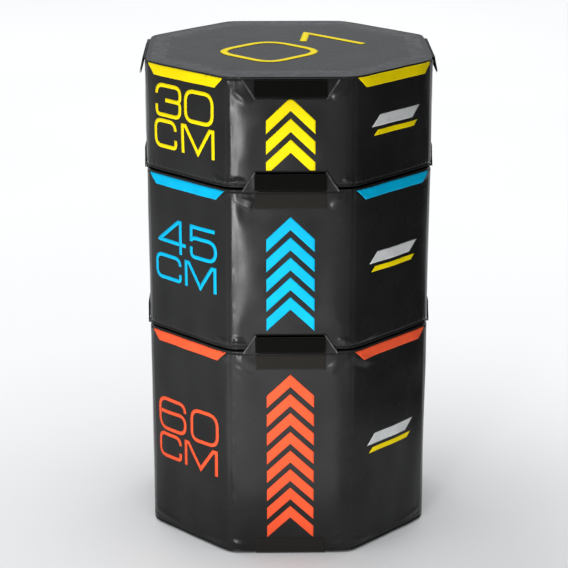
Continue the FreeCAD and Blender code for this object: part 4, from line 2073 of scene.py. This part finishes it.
@dataclass
class PlyoBox:
    """One box of the stack with everything on it."""

    name: str
    base: float
    height: float
    ink: Ink
    mark: HeightMark
    top_sign: str
    seed: int
    folds: Sequence[Fold]
    flap_lean: float = 0.0
    shoulder: float = 0.0020

    def build(self) -> None:
        """Makes the box's sub-assemblies in order."""
        place = (self.name, self.base, self.height)
        cover = Cover(*place, self.seed, self.folds, shoulder=self.shoulder)
        cover.build()
        FoamBlock(*place).build()
        WallTapes(*place).build()
        FlapHems(*place).build()
        for side in FlapSide:
            Flap(self.name, side, self.base, self.height, self.flap_lean).build()
        ZipFastener(self.name, cover).build()
        Prints(self.name, cover, self.ink, self.mark, self.top_sign).build()


@dataclass(frozen=True)
class Lamp:
    """A soft rectangular lamp that faces a point and shines into an angle in degrees."""

    name: str
    at: Spot
    aim: Spot
    size: Pair
    power: float
    spread: float = 180.0

    def build(self) -> None:
        """Puts the lamp in its place."""
        data = bpy.data.lights.new(self.name, "AREA")
        data.shape = "RECTANGLE"
        data.size, data.size_y = self.size
        data.energy = self.power
        data.spread = math.radians(self.spread)
        lamp = bpy.data.objects.new(self.name, data)
        bpy.context.scene.collection.objects.link(lamp)
        lamp.location = self.at
        lamp.rotation_euler = (Vector(self.aim) - Vector(self.at)).to_track_quat("-Z", "Y").to_euler()


LAMPS = (
    Lamp("ceiling_softbox", (0, 5, 8), (0, 5, 0), (18, 20), 1500),
    Lamp("low_strip", (-0.75, -2.7, 0.40), (0, -0.3, 0.75), (0.34, 0.75), 8.2, 70),
    Lamp("floor_softbox", (-0.50, -1.45, 0.03), (-0.50, -1.45, 1.0), (1.5, 1.5), 15),
)


@dataclass
class Studio:
    """The floor, lamps and camera."""

    lens: float = 120.93
    side: float = -0.01147
    distance: float = 5.18056
    eye_height: float = 2.39255
    pitch: float = 0.3229
    turn: float = 0.0153
    card_side: float = 1.06
    card_run: Pair = (-2.92, 0.20)
    card_foot: float = 0.40
    card_top: float = 2.40
    floor_half: float = 30.0
    air: tuple[float, float, float, float] = (0.9, 0.95, 1.0, 1.0)
    air_level: float = 0.42

    def build(self) -> None:
        """Makes the studio."""
        self.board("studio_floor", Matrix.Scale(self.floor_half, 4), FLOOR)
        self.cards()
        for lamp in LAMPS:
            lamp.build()
        world = bpy.data.worlds.new("studio_air")
        world.use_nodes = True
        sky = world.node_tree.nodes["Background"]
        sky.inputs["Color"].default_value = self.air
        sky.inputs["Strength"].default_value = self.air_level
        bpy.context.scene.world = world
        bpy.context.scene.view_settings.view_transform = "Standard"
        self.camera()

    def cards(self) -> None:
        """Stands two black cards at the right, one on the other, for the vinyl there to mirror.

        The lower one leaves the floor's soft light alone.
        """
        near, far = self.card_run
        upright = Matrix.Rotation(math.radians(90), 4, "Y")
        for name, low, high in (
            ("black_card", self.card_foot, self.card_top),
            ("black_card_foot", 0.0, self.card_foot),
        ):
            middle = Matrix.Translation((self.card_side, (near + far) / 2, (low + high) / 2))
            size = Matrix.Diagonal(((high - low) / 2, (far - near) / 2, 1, 1))
            card = self.board(name, middle @ upright @ size, BLACK_CARD)
            card.visible_camera = card.visible_shadow = False
            card.visible_diffuse = low > 0

    @staticmethod
    def board(name: str, pose: Matrix, finish: Finish) -> bpy.types.Object:
        """Adds a flat board that isn't part of the object.

        Args:
            name: The board's name.
            pose: Takes a square of two metres to its place.
            finish: Its finish.

        Returns:
            The board.
        """
        bm = bmesh.new()
        bmesh.ops.create_grid(bm, x_segments=8, y_segments=8, size=1.0, matrix=pose)
        mesh = bpy.data.meshes.new(name)
        bm.to_mesh(mesh)
        bm.free()
        board = bpy.data.objects.new(name, mesh)
        bpy.context.scene.collection.objects.link(board)
        mesh.materials.append(finish.material())
        return board

    def camera(self) -> None:
        """Sets the camera where the photo was taken from."""
        data = bpy.data.cameras.new("photo_camera")
        data.lens, data.sensor_width, data.clip_end = self.lens, 36.0, 100.0
        camera = bpy.data.objects.new("photo_camera", data)
        bpy.context.scene.collection.objects.link(camera)
        swing = Matrix.Rotation(-self.turn, 4, "Z")
        camera.location = swing @ Vector((self.side, -self.distance, self.eye_height))
        look = swing @ Vector((0, math.cos(self.pitch), -math.sin(self.pitch)))
        camera.rotation_euler = look.to_track_quat("-Z", "Y").to_euler()
        bpy.context.scene.camera = camera


SMALL_FOLDS = (
    Fold(0, (-0.172, 0.012), (-0.150, 0.022), 0.0060, 0.0030, 0.5),
    Fold(0, (-0.158, 0.014), (-0.132, 0.024), 0.0055, 0.0032, 0.6),
    Fold(0, (-0.146, 0.030), (-0.118, 0.020), 0.0045, 0.0018, 0.5),
    Fold(0, (0.172, 0.014), (0.136, 0.026), 0.0070, 0.0026, 0.6),
    Fold(0, (-0.172, 0.276), (-0.100, 0.232), 0.0150, 0.0016, 0.65, 1.4),
    Fold(0, (-0.150, 0.262), (-0.112, 0.226), 0.0080, 0.0012, 0.5),
    Fold(0, (-0.166, 0.008), (-0.158, 0.040), 0.0080, 0.0017, 0.5),
    Fold(0, (-0.150, 0.008), (-0.146, 0.034), 0.0070, 0.0015, 0.5),
    Fold(0, (-0.136, 0.008), (-0.130, 0.030), 0.0065, 0.0013, 0.5),
    Fold(0, (0.166, 0.286), (0.108, 0.240), 0.0110, 0.0028, 0.65),
    Fold(7, (0.156, 0.014), (0.128, 0.022), 0.0060, 0.0030, 0.5),
    Fold(7, (0.136, 0.018), (0.106, 0.028), 0.0060, 0.0020, 0.5),
    Fold(1, (-0.152, 0.016), (-0.118, 0.030), 0.0070, 0.0022, 0.5),
)
MIDDLE_FOLDS = (
    Fold(0, (-0.160, 0.430), (-0.1000, 0.4042), 0.0148, 0.0027, 0.90, 1.1, 8.0),
    Fold(0, (-0.168, 0.446), (-0.1050, 0.4330), 0.0060, 0.0012, 0.75, 1.0, 3.0),
    Fold(0, (-0.166, 0.010), (-0.160, 0.044), 0.0080, 0.0017, 0.5),
    Fold(0, (-0.148, 0.010), (-0.142, 0.036), 0.0070, 0.0014, 0.5),
    Fold(0, (-0.170, 0.022), (-0.118, 0.020), 0.0070, 0.0038, 0.55),
    Fold(0, (-0.164, 0.038), (-0.124, 0.032), 0.0045, 0.0018, 0.5),
    Fold(0, (0.172, 0.442), (0.106, 0.400), 0.0115, 0.0026, 0.66),
    Fold(0, (0.152, 0.444), (0.122, 0.424), 0.0050, -0.0016, 0.5),
    Fold(0, (0.172, 0.018), (0.126, 0.034), 0.0080, 0.0030, 0.55),
    Fold(7, (0.156, 0.436), (0.096, 0.410), 0.0090, 0.0026, 0.4),
    Fold(7, (0.152, 0.020), (0.112, 0.030), 0.0065, 0.0024, 0.5),
    Fold(1, (-0.154, 0.436), (-0.090, 0.404), 0.0110, 0.0030, 0.4),
    Fold(1, (0.146, 0.436), (0.080, 0.412), 0.0100, 0.0024, 0.4),
    Fold(1, (-0.150, 0.018), (-0.040, 0.030), 0.0080, 0.0026, 0.4),
)
TALL_FOLDS = (
    Fold(0, (-0.174, 0.586), (-0.086, 0.548), 0.0150, 0.0024, 0.70, 1.3, 3.0),
    Fold(0, (-0.160, 0.560), (-0.104, 0.530), 0.0080, 0.0016, 0.6),
    Fold(0, (0.174, 0.588), (0.102, 0.546), 0.0120, 0.0032, 0.66),
    Fold(0, (0.160, 0.566), (0.112, 0.536), 0.0080, -0.0020, 0.5),
    Fold(0, (-0.172, 0.036), (-0.112, 0.022), 0.0070, 0.0034, 0.5),
    Fold(0, (0.172, 0.040), (0.118, 0.024), 0.0080, 0.0030, 0.5),
    Fold(0, (0.150, 0.070), (0.110, 0.046), 0.0060, 0.0014, 0.5),
    Fold(7, (0.156, 0.032), (0.040, 0.026), 0.0075, 0.0030, 0.4),
    Fold(7, (-0.150, 0.040), (-0.020, 0.026), 0.0080, 0.0032, 0.4),
    Fold(1, (-0.154, 0.034), (-0.040, 0.024), 0.0075, 0.0030, 0.4),
    Fold(1, (0.150, 0.042), (0.020, 0.026), 0.0080, 0.0032, 0.4),
    Fold(1, (-0.156, 0.584), (-0.060, 0.540), 0.0130, 0.0042, 0.35),
    Fold(1, (-0.150, 0.556), (-0.080, 0.520), 0.0080, -0.0018, 0.4),
    Fold(7, (0.156, 0.586), (0.090, 0.556), 0.0100, 0.0024, 0.4),
)


def main() -> None:
    """Builds the boxes from the floor up, then the studio."""
    logging.basicConfig(level=logging.INFO, format="%(message)s")
    boxes = (
        PlyoBox("tall_box", 0.0, 0.600, Ink.RED, TALL_MARK, "03", 11, TALL_FOLDS),
        PlyoBox("middle_box", 0.600, 0.450, Ink.BLUE, MIDDLE_MARK, "02", 23, MIDDLE_FOLDS),
        PlyoBox("small_box", 1.050, 0.300, Ink.YELLOW, SMALL_MARK, "01", 37, SMALL_FOLDS, 168.0, 0.0042),
    )
    for box in boxes:
        box.build()
    Studio().build()


if __name__ == "__main__":
    main()
